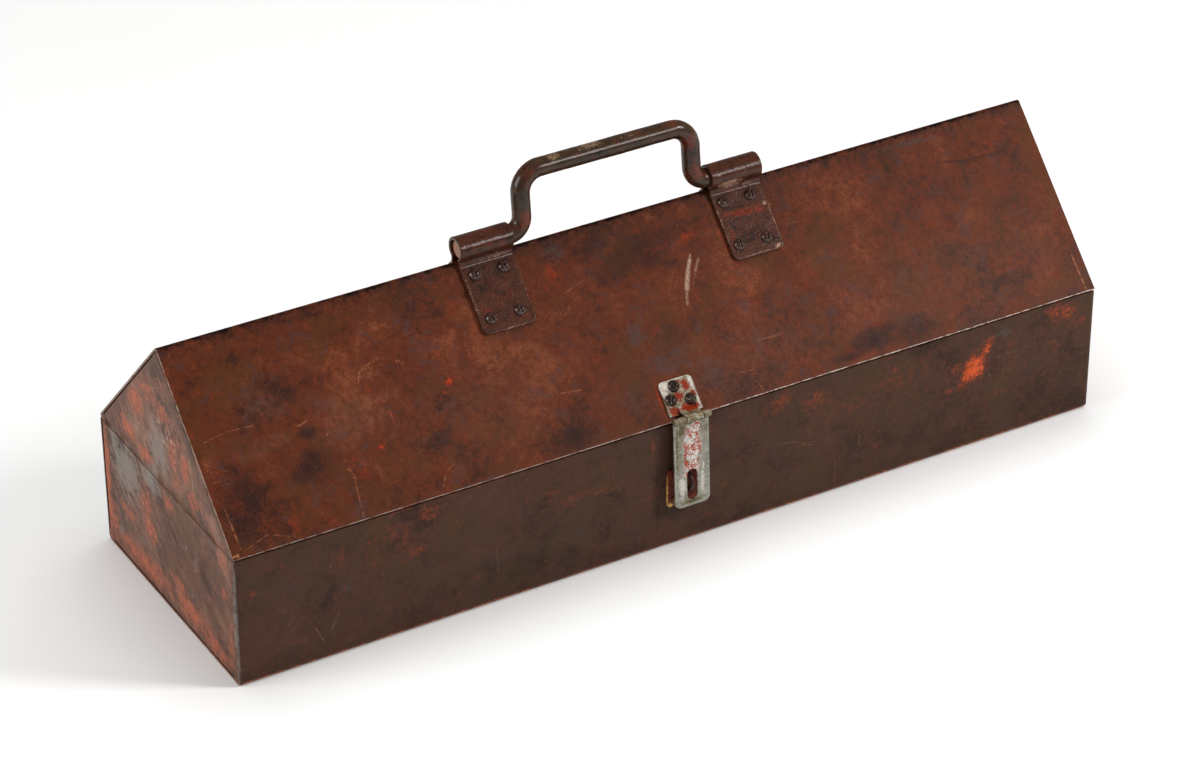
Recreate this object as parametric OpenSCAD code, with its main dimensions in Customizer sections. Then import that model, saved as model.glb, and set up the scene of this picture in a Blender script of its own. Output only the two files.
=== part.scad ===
// Steel toolbox with a gabled lid, a swinging rod handle, a hasp and staple at
// the front and two butt hinges at the back.
// Units are millimetres. The origin is on the ground at the middle of the base,
// +X runs along the length, +Y to the back (hinge side) and +Z up.

/* [Body] */
// Length over the end panels
body_len = 610; // [520:5:700]
// Depth of the base, front wall to back wall
body_depth = 184; // [172:2:200]
// Height of the eave, where the roof slope meets the wall
eave_z = 90.5; // [84:0.5:100]
// Rise of the ridge above the eave
roof_rise = 94.5; // [88:0.5:102]
// Steel sheet thickness of the base and the lid
sheet_t = 1.5; // [1:0.1:1.8]
// Outside bend radius of the base sheet
wrap_r = 4; // [3:0.5:6]
// Outside bend radius of the roof sheet at the ridge
ridge_r = 2.5; // [2.2:0.1:4]
// Outside bend radius of the end panel and gable flanges
flange_r = 2.2; // [2:0.1:3]
// Width of the end panel and gable flanges
flange_w = 13; // [10:1:18]
// Gap between the rim of the base and the lower edge of the lid
seam = 0.5; // [0.4:0.1:1]
// How far the roof runs past the eave line at the front
front_over = 1; // [0.5:0.1:1.4]

/* [Handle] */
// Diameter of the handle rod
rod_d = 12; // [10:0.5:12.5]
// Half length of the handle along the ridge
rod_half = 105; // [100:1:112]
// Distance from the handle's middle to the middle of each leg
leg_x = 59.9; // [52:0.1:59.9]
// Height of the grip's centreline over the pivot
grip_h = 38.4; // [34:0.2:48]
// Bend radius at the foot of each leg, on the centreline
foot_r = 10; // [8.5:0.5:10]
// Bend radius at the grip, on the centreline
grip_r = 14; // [10:0.5:18]
// Lean of the handle towards the back, as it stands
handle_lean = 5.7; // [0:0.1:20]
// Position of the handle's middle along the ridge
handle_x = -1.1; // [-2:0.1:0]
// Height of the pivot over the sharp ridge line
pivot_h = 7.4; // [7.4:0.1:9]

/* [Handle straps] */
// Thickness of the strap steel
strap_t = 2.2; // [1.8:0.1:2.4]
// Width of each strap along the ridge
strap_w = 36.2; // [34:0.2:37]
// Length of a strap leaf, measured down the slope from the ridge line
strap_leaf = 49.4; // [47:0.2:56]
// Middle of the left strap
strap_xl = -89.3; // [-90:0.1:-89.2]
// Middle of the right strap
strap_xr = 87; // [86.9:0.1:88]
// Clear space between the two necks of a strap
neck_gap = 6.2; // [5:0.2:7]

/* [Hasp] */
// Width of the slotted strap of the hasp
hasp_w = 25; // [22:0.5:27]
// Length of the slotted strap under its hinge pin
hasp_len = 61.7; // [60.5:0.1:64]
// Width of the slot
slot_w = 7.4; // [6.5:0.1:9]
// Length of the slot
slot_len = 21.3; // [20.5:0.1:22]
// Lean of the slotted strap, which hangs free from its pin
hasp_lean = 3.1; // [2.8:0.1:4]
// Width of the plate on the roof
plate_w = 23.5; // [22:0.5:26]
// Sheet thickness of the hasp
hasp_t = 1.1; // [0.9:0.05:1.2]
// Diameter of the hasp's pin
hasp_pin_d = 2; // [1.8:0.1:2.2]

/* [Staple] */
// Wire diameter of the staple
staple_wire = 2.8; // [2.4:0.1:3]
// Reach of the staple from the wall
staple_reach = 8.9; // [8.5:0.1:9]
// Middle height of the staple
staple_z = 45.5; // [45:0.1:46]
// Width of the staple's plate
staple_plate_w = 28.8; // [28:0.2:34]
// Height of the staple's plate
staple_plate_h = 26.7; // [26:0.1:28]

/* [Rear hinges] */
// Distance from the middle of the box to the middle of each hinge
hinge_x = 190; // [150:5:220]
// Length of each hinge
hinge_len = 63; // [55:1:76]
// Height of each hinge leaf
hinge_leaf = 26; // [24:1:30]
// Thickness of a hinge leaf
hinge_t = 1.5; // [1.3:0.1:1.6]
// Diameter of the hinge pin
hinge_pin_d = 2.5; // [2.2:0.1:2.6]

/* [Hidden] */
$fn = 64;

// Colours as seen: oxblood paint, bare and rusted steel, galvanised hasp
c_paint = [0.33, 0.15, 0.12];
c_end = [0.42, 0.30, 0.29];
c_strap = [0.31, 0.22, 0.18];
c_rod = [0.36, 0.25, 0.19];
c_screw = [0.23, 0.17, 0.14];
c_galv = [0.68, 0.65, 0.60];
c_staple = [0.55, 0.24, 0.13];
c_hinge = [0.36, 0.24, 0.19];

t = sheet_t;
hl = body_len / 2;
hd = body_depth / 2;
ridge_z = eave_z + roof_rise;
slope_a = atan2(roof_rise, hd);          // angle of the roof slope
slope_len = sqrt(hd * hd + roof_rise * roof_rise);
rim_z = eave_z - 2.5;                    // top edge of the base
lid_z = rim_z + seam;                    // lower edge of the gables

// Clearances
fit = 0.06;      // radial clearance of the handle rod in its straps
pin_fit = 0.05;  // radial clearance of a hinge pin in its turning knuckle
hole_fit = 0.1;  // radial clearance of a screw or rivet in its hole
kgap = 0.35;     // gap between neighbouring knuckles

// Handle pivot and strap ring
pivot_z = ridge_z + pivot_h;
ring_in = rod_d / 2 + fit;
ring_out = ring_in + strap_t;
neck_in = neck_gap / 2;
neck_out = neck_in + strap_t;

// Strap screws: distance down the slope from the ridge line, and along the ridge
screw_down = [11.8, 40.2];
screw_dx = [-9.9, 9.9];
screw_shift_l = -0.4;   // the screws of the left strap sit a little off its middle
screw_shift_r = -1.6;   // and so do those of the right strap
screw_head_d = 7.6;
screw_head_h = 3;
screw_d = 4;
nut_af = 8.7;
nut_h = 3.2;
// Direction of each screw's slot, front four and then back four
slots_l = [80, 102, 98, 94, 92, 70, 105, 60];
slots_r = [130, 84, 88, 85, 110, 85, 95, 140];

// Hasp
hk_r = hasp_pin_d / 2 + pin_fit + hasp_t;      // knuckle radius
hk_y = -(hd + 6);                              // hinge axis of the hasp
hk_z = eave_z + 2.2;
hk_left = [-12.7, -4.7];                       // knuckle of the slotted strap
hk_mid = [-4.7 + kgap, 7.7 - kgap];            // knuckle of the roof plate
hk_right = [7.7, 12.7];                        // knuckle of the slotted strap
plate_x0 = 0.25 - plate_w / 2;
plate_x1 = 0.25 + plate_w / 2;
plate_top = 24.3;                              // upper edge, up the slope from the eave
hasp_screws_at = [[-6.7, 12.0, 65], [6.2, 9.5, 10], [-1.5, 19.9, 120]];
hasp_head_d = 7.8;

// Staple
loop_r = 6.9 - staple_wire / 2;                // centreline radius of the loop
loop_off = staple_reach - 6.9;                 // centre of the loop off the wall
staple_plate_t = 1.5;
staple_plate_z = 42.75;
rivets_at = [[-9.8, 34.2], [9.8, 34.2], [-9.8, 51.3], [9.8, 51.3]];

// Rear hinges
bh_r = hinge_pin_d / 2 + hinge_t;              // knuckle radius
bh_y = hd + bh_r;                              // hinge axis of the lid
bh_z = eave_z + bh_r * (1 - sin(slope_a)) / cos(slope_a);
bh_k = hinge_len / 3;                          // length of a knuckle
hinge_rivet_d = 4;
hinge_rivets_at = [[-hinge_len / 2 + 9, 10], [0, 15], [hinge_len / 2 - 9, 10]];

// ---------- helpers ----------

function arc(c, r, a0, a1, n = 8) =
    [for (i = [0:n]) [c[0] + r * cos(a0 + (a1 - a0) * i / n), c[1] + r * sin(a0 + (a1 - a0) * i / n)]];

// Extrudes a (y, z) outline along X
module along_x(x0, x1) {
    translate([x0, 0, 0]) rotate([90, 0, 90]) linear_extrude(x1 - x0) children();
}

// Frame of the front slope: x along the ridge, y up the slope from the eave, z outwards
module front_slope() {
    translate([0, -hd, eave_z]) rotate([slope_a, 0, 0]) children();
}

module back_slope() {
    mirror([0, 1, 0]) front_slope() children();
}

module both_slopes() {
    front_slope() children();
    back_slope() children();
}

// Cuts a square corner to a radius: the corner is at the origin and the sheet
// lies towards [sx, sy]
module corner_cut(sx, sy, r) {
    difference() {
        translate([sx > 0 ? -1 : -r, sy > 0 ? -1 : -r]) square(r + 1);
        translate([sx * r, sy * r]) circle(r);
    }
}

module rounded_plate(x0, x1, y0, y1, r_low, r_high) {
    difference() {
        translate([x0, y0]) square([x1 - x0, y1 - y0]);
        if (r_low > 0) {
            translate([x0, y0]) corner_cut(1, 1, r_low);
            translate([x1, y0]) corner_cut(-1, 1, r_low);
        }
        if (r_high > 0) {
            translate([x0, y1]) corner_cut(1, -1, r_high);
            translate([x1, y1]) corner_cut(-1, -1, r_high);
        }
    }
}

// Domed head: flat side on z = 0, a short straight rim and a spherical cap
module dome(d, h, rim = 0.4) {
    cap = h - rim;
    sr = (d * d / 4 + cap * cap) / (2 * cap);
    cylinder(d = d, h = rim);
    translate([0, 0, rim]) intersection() {
        translate([0, 0, cap - sr]) sphere(sr);
        cylinder(d = d, h = cap + 1);
    }
}

// Round head screw with a slot, standing on z = 0 with its shank below
module round_screw(head_d, head_h, d, reach, slot) {
    difference() {
        union() {
            dome(head_d, head_h);
            translate([0, 0, -reach]) cylinder(d = d, h = reach + 0.2);
        }
        rotate([0, 0, slot]) translate([-head_d, -0.6, head_h - 1.3]) cube([2 * head_d, 1.2, 3]);
    }
}

module hex_nut(af, h, bore) {
    difference() {
        intersection() {
            cylinder(d = af / cos(30), h = h, $fn = 6);
            translate([0, 0, -0.6]) cylinder(r1 = af / 2 + 1.9, r2 = af / 2 - 0.1, h = h + 0.9);
        }
        translate([0, 0, -1]) cylinder(d = bore, h = h + 2);
    }
}

// Rivet through a stack: the head stands on z = 0, the tail is formed at -grip
module rivet(d, head_d, head_h, grip, tail_d, tail_h) {
    dome(head_d, head_h, 0.3);
    translate([0, 0, -grip - 0.1]) cylinder(d = d, h = grip + 0.2);
    translate([0, 0, -grip]) mirror([0, 0, 1]) dome(tail_d, tail_h, 0.3);
}

// ---------- base ----------

// Front wall, floor and back wall in one folded sheet
module base_wrap() {
    outline = concat(
        [[-hd, rim_z]],
        arc([-hd + wrap_r, wrap_r], wrap_r, 180, 270),
        arc([hd - wrap_r, wrap_r], wrap_r, 270, 360),
        [[hd, rim_z], [hd - t, rim_z]],
        arc([hd - wrap_r, wrap_r], wrap_r - t, 0, -90),
        arc([-hd + wrap_r, wrap_r], wrap_r - t, -90, -180),
        [[-hd + t, rim_z]]);
    color(c_paint) difference() {
        along_x(-hl, hl) polygon(outline);
        // holes for the staple and its rivets
        for (p = rivets_at) translate([p[0], -hd - 1, p[1]]) rotate([-90, 0, 0]) cylinder(d = 3.2 + 2 * hole_fit, h = t + 2);
        for (s = [-1, 1]) translate([0, -hd - 1, staple_z + s * loop_r]) rotate([-90, 0, 0]) cylinder(d = staple_wire + 2 * hole_fit, h = t + 2);
        // holes for the rivets of the rear hinges
        for (s = [-1, 1], p = hinge_rivets_at)
            translate([s * hinge_x + p[0], hd + 1, bh_z - 3 - p[1]]) rotate([90, 0, 0]) cylinder(d = hinge_rivet_d + 2 * hole_fit, h = t + 2);
    }
}

// End panel: a plate with a flange at the front, at the floor and at the back
module base_end(sx) {
    i = hd - t;                        // inner face of the folded sheet
    z0 = wrap_r + flange_r + 2;        // lower end of the upright flanges
    y0 = i - z0 + t;                   // end of the floor flange
    face = concat([[-i, rim_z]], arc([-hd + wrap_r, wrap_r], wrap_r - t, 180, 270),
                  arc([hd - wrap_r, wrap_r], wrap_r - t, 270, 360), [[i, rim_z]]);
    module edge(len) {                 // bent edge along Y, floor side down
        along_y(len) polygon(concat(
            arc([flange_r, flange_r], flange_r, 180, 270),
            [[flange_w, 0], [flange_w, t]],
            arc([flange_r, flange_r], flange_r - t, 270, 180)));
    }
    module along_y(len) translate([0, len / 2, 0]) rotate([90, 0, 0]) linear_extrude(len) children();
    color(c_end) mirror([sx > 0 ? 1 : 0, 0, 0]) translate([-hl, 0, 0]) {
        along_x(0, t) difference() {
            polygon(face);
            translate([-y0, 0]) square([2 * y0, t + flange_r]);
            for (s = [-1, 1]) translate([s > 0 ? i - flange_r : -i - 1, z0]) square([flange_r + 1, rim_z]);
        }
        translate([0, 0, t]) edge(2 * y0);
        for (s = [-1, 1])
            translate([0, s * i, (rim_z + z0) / 2]) rotate([s * 90, 0, 0]) edge(rim_z - z0);
    }
}

module base_end_left() base_end(-1);
module base_end_right() base_end(1);

// ---------- lid ----------

// Both roof slopes in one sheet, bent at the ridge
module lid_roof() {
    n = [cos(90 - slope_a), sin(90 - slope_a)];       // normal of the back slope
    d = [cos(slope_a), -sin(slope_a)];                // down the back slope
    c = [0, ridge_z - ridge_r / cos(slope_a)];
    fl = slope_len + front_over;
    bl = slope_len - 0.4;
    apex = [0, ridge_z];
    fe = [-(fl * d[0]), ridge_z + fl * d[1]];
    be = apex + bl * d;
    outline = concat(
        [fe], arc(c, ridge_r, 90 + slope_a, 90 - slope_a, 10),
        [be, be - t * n], arc(c, ridge_r - t, 90 - slope_a, 90 + slope_a, 10),
        [[fe[0] + t * n[0], fe[1] - t * n[1]]]);
    color(c_paint) difference() {
        along_x(-hl, hl) polygon(outline);
        both_slopes() for (x = concat([for (q = screw_dx) strap_xl + screw_shift_l + q], [for (q = screw_dx) strap_xr + screw_shift_r + q]), q = screw_down)
            translate([x, slope_len - q, -t - 1]) cylinder(d = screw_d + 2 * hole_fit, h = t + 2);
        front_slope() for (p = hasp_screws_at) translate([p[0], p[1], -t - 1]) cylinder(d = screw_d + 2 * hole_fit, h = t + 2);
        back_slope() for (s = [-1, 1], p = hinge_rivets_at)
            translate([s * hinge_x + p[0], p[1] + 2, -t - 1]) cylinder(d = hinge_rivet_d + 2 * hole_fit, h = t + 2);
    }
}

// Gable: a triangular plate with a flange under each slope
module lid_gable(sx) {
    s0 = 6;                                   // lower end of the flanges, up the slope
    s1 = slope_len - 9;                       // upper end of the flanges
    top = ridge_z - t / cos(slope_a);         // under the roof sheet
    half = (top - lid_z) / tan(slope_a);
    lim = min(half, hd - t - 0.1);
    ztop = top - lim * tan(slope_a);
    color(c_end) mirror([sx > 0 ? 1 : 0, 0, 0]) translate([-hl, 0, 0]) {
        along_x(0, t) difference() {
            polygon([[-lim, lid_z], [-lim, ztop], [0, top - 0.8], [lim, ztop], [lim, lid_z]]);
            for (s = [-1, 1]) scale([s, 1]) translate([hd, eave_z]) rotate(180 - slope_a) translate([s0, t - 0.5]) square([s1 - s0, flange_r + 0.5]);
        }
        for (s = [0, 1]) mirror([0, s, 0]) front_slope() translate([0, s1, -t]) rotate([90, 0, 0]) linear_extrude(s1 - s0)
            polygon(concat(
                arc([flange_r, -flange_r], flange_r, 180, 90),
                [[flange_w, 0], [flange_w, -t]],
                arc([flange_r, -flange_r], flange_r - t, 90, 180)));
    }
}

module lid_gable_left() lid_gable(-1);
module lid_gable_right() lid_gable(1);

// ---------- handle ----------

// One bent rod: stubs in the straps, two legs and the grip
module carry_handle() {
    r = rod_d / 2;
    leg0 = foot_r;
    leg1 = grip_h - grip_r;
    stub = leg_x + foot_r;
    color(c_rod) translate([handle_x, 0, pivot_z]) rotate([-handle_lean, 0, 0]) {
        translate([-leg_x + grip_r, 0, grip_h]) rotate([0, 90, 0]) cylinder(r = r, h = 2 * (leg_x - grip_r));
        for (s = [0, 1]) mirror([s, 0, 0]) {
            translate([stub, 0, 0]) rotate([0, 90, 0]) cylinder(r = r, h = rod_half - stub - 0.8);
            translate([rod_half - 0.8, 0, 0]) rotate([0, 90, 0]) cylinder(r1 = r, r2 = r - 0.8, h = 0.8);
            translate([stub, 0, foot_r]) rotate([90, 0, 0]) rotate([0, 0, 180]) rotate_extrude(angle = 90) translate([foot_r, 0]) circle(r);
            translate([leg_x, 0, leg0]) cylinder(r = r, h = leg1 - leg0);
            translate([leg_x - grip_r, 0, leg1]) rotate([90, 0, 0]) rotate_extrude(angle = 90) translate([grip_r, 0]) circle(r);
        }
    }
}

// Strap over the rod: a ring, two necks and a leaf down each slope
module handle_strap(xc, shift) {
    n = [sin(slope_a), cos(slope_a)];
    d = [cos(slope_a), -sin(slope_a)];
    apex = [0, ridge_z];
    rc = 2.5;                                  // inside radius of the bend at the slope
    bz = ridge_z + strap_t / cos(slope_a) + (rc - (neck_out + rc) * sin(slope_a)) / cos(slope_a);
    bc = [neck_out + rc, bz];
    zt = pivot_z - sqrt(pow((ring_in + ring_out) / 2, 2) - pow((neck_in + neck_out) / 2, 2));
    half = concat(
        [[neck_out, zt]],
        arc(bc, rc, 180, 270 - slope_a),
        [apex + strap_leaf * d + strap_t * n, apex + strap_leaf * d],
        arc(bc, rc + strap_t, 270 - slope_a, 180));
    m = len(half) - 1;
    x0 = xc - strap_w / 2;
    x1 = xc + strap_w / 2;
    color(c_strap) difference() {
        union() {
            along_x(x0, x1) polygon(concat(half, [for (i = [0:m]) [-half[m - i][0], half[m - i][1]]]));
            translate([x0, 0, pivot_z]) rotate([0, 90, 0]) cylinder(r = ring_out, h = strap_w);
        }
        translate([x0 - 1, 0, pivot_z]) rotate([0, 90, 0]) cylinder(r = ring_in, h = strap_w + 2);
        translate([x0 - 1, -neck_in, pivot_z - ring_out - 2]) cube([strap_w + 2, neck_gap, ring_out + 2]);
        both_slopes() translate([0, slope_len - strap_leaf, -1]) linear_extrude(strap_t + 2) {
            translate([x0, 0]) corner_cut(1, 1, 4);
            translate([x1, 0]) corner_cut(-1, 1, 4);
        }
        both_slopes() for (q = screw_dx, s = screw_down)
            translate([xc + shift + q, slope_len - s, -1]) cylinder(d = screw_d + 2 * hole_fit, h = strap_t + 2);
    }
}

module handle_strap_left() handle_strap(strap_xl, screw_shift_l);
module handle_strap_right() handle_strap(strap_xr, screw_shift_r);

module strap_screws(xc, slots) {
    color(c_screw) for (b = [0, 1]) mirror([0, b, 0]) front_slope()
        for (i = [0:1], j = [0:1])
            translate([xc + screw_dx[i], slope_len - screw_down[j], strap_t])
                round_screw(screw_head_d, screw_head_h, screw_d, strap_t + t + nut_h + 0.9, slots[4 * b + 2 * j + i]);
}

module strap_nuts(xc) {
    color(c_screw) for (b = [0, 1]) mirror([0, b, 0]) front_slope()
        for (i = [0:1], j = [0:1])
            translate([xc + screw_dx[i], slope_len - screw_down[j], -t]) mirror([0, 0, 1])
                rotate(30) hex_nut(nut_af, nut_h, screw_d + 0.04);
}

module strap_screws_left() strap_screws(strap_xl + screw_shift_l, slots_l);
module strap_screws_right() strap_screws(strap_xr + screw_shift_r, slots_r);
module strap_nuts_left() strap_nuts(strap_xl + screw_shift_l);
module strap_nuts_right() strap_nuts(strap_xr + screw_shift_r);

// ---------- hasp ----------

// Plate on the roof, with a tongue that steps out over the eave to the middle knuckle
module hasp_plate() {
    n = [-sin(slope_a), cos(slope_a)];
    a = slope_a;
    rc = 1.6;                                     // inside radius of the step
    qt = hk_z + hk_r;                             // top of the tongue
    qc = qt + rc;
    pc = (rc - (qc - ridge_z - hasp_t / cos(a)) * cos(a)) / sin(a);
    bend = [-pc, qc];                             // centre of the step's bend
    tip = bend - rc * n;                          // where the bend meets the plate's top
    s_b = (tip[1] - hasp_t * n[1] - eave_z) / sin(a);   // the same place, up the slope
    color(c_galv) {
        difference() {
            front_slope() difference() {
                linear_extrude(hasp_t) difference() {
                    rounded_plate(plate_x0, plate_x1, 2, plate_top, 1, 3);
                    translate([hk_mid[0] - 0.6, 0]) square([hk_mid[1] - hk_mid[0] + 1.2, s_b + 0.4]);
                }
                for (p = hasp_screws_at) translate([p[0], p[1], -1]) cylinder(d = screw_d + 2 * hole_fit, h = hasp_t + 2);
            }
        }
        along_x(hk_mid[0], hk_mid[1]) difference() {
            union() {
                polygon(concat(
                    arc(bend, rc, 270 + a, 270),
                    [[hk_y, qt], [hk_y, qt - hasp_t]],
                    arc(bend, rc + hasp_t, 270, 270 + a),
                    [bend - (rc + hasp_t) * n + 0.9 * [cos(a), sin(a)], bend - rc * n + 0.9 * [cos(a), sin(a)]]));
                translate([hk_y, hk_z]) circle(hk_r);
            }
            translate([hk_y, hk_z]) circle(hasp_pin_d / 2 + pin_fit);
        }
    }
}

module hasp_plate_screws() {
    color(c_screw) front_slope() for (p = hasp_screws_at)
        translate([p[0], p[1], hasp_t]) round_screw(hasp_head_d, 2.8, screw_d, hasp_t + t + nut_h + 0.9, p[2]);
}

module hasp_plate_nuts() {
    color(c_screw) front_slope() for (p = hasp_screws_at)
        translate([p[0], p[1], -t]) mirror([0, 0, 1]) rotate(30) hex_nut(nut_af, nut_h, screw_d + 0.04);
}

module hasp_frame() translate([0, hk_y, hk_z]) rotate([-hasp_lean, 0, 0]) children();

// Slotted strap, hanging from its two knuckles
module hasp_strap() {
    slot_mid = (hk_z - staple_z) / cos(hasp_lean) - 0.4;
    color(c_galv) hasp_frame() {
        difference() {
            union() {
                translate([0, hk_r, 0]) rotate([90, 0, 0]) linear_extrude(hasp_t) difference() {
                    rounded_plate(-hasp_w / 2, hasp_w / 2, -hasp_len, 0, 4.5, 0);
                    translate([hk_mid[0] - kgap, -3.4]) square([hk_mid[1] - hk_mid[0] + 2 * kgap, 4]);
                    difference() {
                        translate([-slot_w / 2, -slot_mid - slot_len / 2]) square([slot_w, slot_len]);
                        for (sy = [-1, 1], sx = [-1, 1]) translate([sx * slot_w / 2, -slot_mid + sy * slot_len / 2]) corner_cut(-sx, -sy, slot_w / 2 - 0.1);
                    }
                }
                for (k = [hk_left, hk_right]) translate([k[0], 0, 0]) rotate([0, 90, 0]) cylinder(r = hk_r, h = k[1] - k[0]);
            }
            translate([-30, 0, 0]) rotate([0, 90, 0]) cylinder(d = hasp_pin_d + 0.04, h = 60);
        }
    }
}

// Pin of the hasp, headed at both ends
module hasp_pin() {
    color(c_screw) hasp_frame() {
        translate([-12.8, 0, 0]) rotate([0, 90, 0]) cylinder(d = hasp_pin_d, h = 25.6);
        for (s = [0, 1]) mirror([s, 0, 0]) translate([12.7, 0, 0]) rotate([0, 90, 0]) dome(3.4, 0.9, 0.2);
    }
}

// ---------- staple ----------

module staple_plate() {
    color(c_staple) translate([0, -hd, 0]) rotate([90, 0, 0]) linear_extrude(staple_plate_t) difference() {
        rounded_plate(-staple_plate_w / 2, staple_plate_w / 2, staple_plate_z - staple_plate_h / 2, staple_plate_z + staple_plate_h / 2, 2.5, 2.5);
        for (p = rivets_at) translate(p) circle(d = 3.2 + 2 * hole_fit);
        for (s = [-1, 1]) translate([0, staple_z + s * loop_r]) circle(d = staple_wire + 2 * hole_fit);
    }
}

// Wire loop, its two legs upset behind the wall
module staple_loop() {
    color(c_galv) translate([0, -hd, staple_z]) {
        translate([0, -loop_off, 0]) rotate([0, 90, 0]) rotate([0, 0, 180]) rotate_extrude(angle = 180) translate([loop_r, 0]) circle(d = staple_wire);
        for (s = [-1, 1]) translate([0, -loop_off, s * loop_r]) rotate([-90, 0, 0]) {
            cylinder(d = staple_wire, h = loop_off + t + 0.3);
            translate([0, 0, loop_off + t]) dome(4.4, 1.3, 0.3);
        }
    }
}

module staple_rivets() {
    color(c_staple) for (p = rivets_at) translate([p[0], -hd - staple_plate_t, p[1]]) rotate([90, 0, 0])
        rivet(3.2, 5.6, 0.7, staple_plate_t + t, 5.2, 1.1);
}

// ---------- rear hinges ----------

module knuckle(x0, x1) translate([x0, bh_y, bh_z]) rotate([0, 90, 0]) cylinder(r = bh_r, h = x1 - x0);

// Leaf on the back wall, with the two outer knuckles
module hinge_base_leaf(xc) {
    h = hinge_len / 2;
    m = bh_k / 2;
    color(c_hinge) translate([xc, 0, 0]) difference() {
        union() {
            translate([0, hd, 0]) mirror([0, 1, 0]) rotate([90, 0, 0]) linear_extrude(hinge_t) difference() {
                rounded_plate(-h, h, bh_z - hinge_leaf, bh_z, 2.5, 0);
                translate([-m, bh_z - 3.3]) square([2 * m, 4]);
            }
            knuckle(-h, -m);
            knuckle(m, h);
        }
        translate([-h - 1, bh_y, bh_z]) rotate([0, 90, 0]) cylinder(d = hinge_pin_d + 0.04, h = hinge_len + 2);
        for (p = hinge_rivets_at) translate([p[0], hd - 1, bh_z - 3 - p[1]]) rotate([-90, 0, 0]) cylinder(d = hinge_rivet_d + 2 * hole_fit, h = hinge_t + 2);
    }
}

// Leaf on the back slope, with the middle knuckle
module hinge_lid_leaf(xc) {
    h = hinge_len / 2;
    m = bh_k / 2 - kgap;
    s_ax = (bh_y - hd) * -cos(slope_a) + (bh_z - eave_z) * sin(slope_a);   // hinge axis, up the slope
    color(c_hinge) translate([xc, 0, 0]) difference() {
        union() {
            back_slope() linear_extrude(hinge_t) difference() {
                rounded_plate(-h, h, s_ax, s_ax + hinge_leaf, 0, 2.5);
                for (s = [-1, 1]) translate([s > 0 ? m : -h - 1, s_ax - 1]) square([h - m + 1, 4.4]);
            }
            knuckle(-m, m);
        }
        translate([-h - 1, bh_y, bh_z]) rotate([0, 90, 0]) cylinder(d = hinge_pin_d + 2 * pin_fit, h = hinge_len + 2);
        back_slope() for (p = hinge_rivets_at) translate([p[0], p[1] + 2, -1]) cylinder(d = hinge_rivet_d + 2 * hole_fit, h = hinge_t + 2);
    }
}

// Hinge pin, headed at both ends
module hinge_pin(xc) {
    color(c_screw) translate([xc, bh_y, bh_z]) {
        translate([-hinge_len / 2 - 0.1, 0, 0]) rotate([0, 90, 0]) cylinder(d = hinge_pin_d, h = hinge_len + 0.2);
        for (s = [0, 1]) mirror([s, 0, 0]) translate([hinge_len / 2, 0, 0]) rotate([0, 90, 0]) dome(4.2, 1.1, 0.2);
    }
}

module hinge_base_leaf_left() hinge_base_leaf(-hinge_x);
module hinge_base_leaf_right() hinge_base_leaf(hinge_x);
module hinge_lid_leaf_left() hinge_lid_leaf(-hinge_x);
module hinge_lid_leaf_right() hinge_lid_leaf(hinge_x);
module hinge_pin_left() hinge_pin(-hinge_x);
module hinge_pin_right() hinge_pin(hinge_x);

module hinge_base_rivets() {
    color(c_screw) for (s = [-1, 1], p = hinge_rivets_at)
        translate([s * hinge_x + p[0], hd + hinge_t, bh_z - 3 - p[1]]) rotate([-90, 0, 0])
            rivet(hinge_rivet_d, 7, 1.8, hinge_t + t, 6.4, 1.4);
}

module hinge_lid_rivets() {
    color(c_screw) back_slope() for (s = [-1, 1], p = hinge_rivets_at)
        translate([s * hinge_x + p[0], p[1] + 2, hinge_t])
            rivet(hinge_rivet_d, 7, 1.8, hinge_t + t, 6.4, 1.4);
}

// ---------- assembly ----------

base_wrap();
base_end_left();
base_end_right();
lid_roof();
lid_gable_left();
lid_gable_right();
carry_handle();
handle_strap_left();
handle_strap_right();
strap_screws_left();
strap_screws_right();
strap_nuts_left();
strap_nuts_right();
hasp_plate();
hasp_plate_screws();
hasp_plate_nuts();
hasp_strap();
hasp_pin();
staple_plate();
staple_loop();
staple_rivets();
hinge_base_leaf_left();
hinge_base_leaf_right();
hinge_lid_leaf_left();
hinge_lid_leaf_right();
hinge_pin_left();
hinge_pin_right();
hinge_base_rivets();
hinge_lid_rivets();
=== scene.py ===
import math

import bmesh
import bpy
import numpy as np
from mathutils import Matrix, Vector, noise


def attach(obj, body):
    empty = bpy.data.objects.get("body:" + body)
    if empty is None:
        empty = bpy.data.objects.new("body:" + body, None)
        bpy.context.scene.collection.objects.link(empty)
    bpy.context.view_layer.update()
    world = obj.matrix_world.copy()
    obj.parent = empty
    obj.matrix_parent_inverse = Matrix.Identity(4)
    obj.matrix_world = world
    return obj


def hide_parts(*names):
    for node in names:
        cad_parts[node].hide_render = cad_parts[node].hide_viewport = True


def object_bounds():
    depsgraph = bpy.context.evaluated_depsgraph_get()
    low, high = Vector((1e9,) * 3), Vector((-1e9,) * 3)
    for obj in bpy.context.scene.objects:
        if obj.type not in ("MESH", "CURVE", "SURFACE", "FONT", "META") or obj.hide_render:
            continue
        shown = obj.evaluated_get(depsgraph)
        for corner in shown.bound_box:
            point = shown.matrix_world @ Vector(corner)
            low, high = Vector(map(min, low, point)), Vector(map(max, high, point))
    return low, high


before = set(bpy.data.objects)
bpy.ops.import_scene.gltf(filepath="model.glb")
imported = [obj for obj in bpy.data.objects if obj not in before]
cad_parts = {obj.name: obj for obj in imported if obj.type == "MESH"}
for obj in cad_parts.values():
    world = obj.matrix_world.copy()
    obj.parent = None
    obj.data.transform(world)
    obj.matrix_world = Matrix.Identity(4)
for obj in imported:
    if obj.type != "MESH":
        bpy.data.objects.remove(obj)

CAD_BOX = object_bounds()
MM = 0.001

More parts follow.
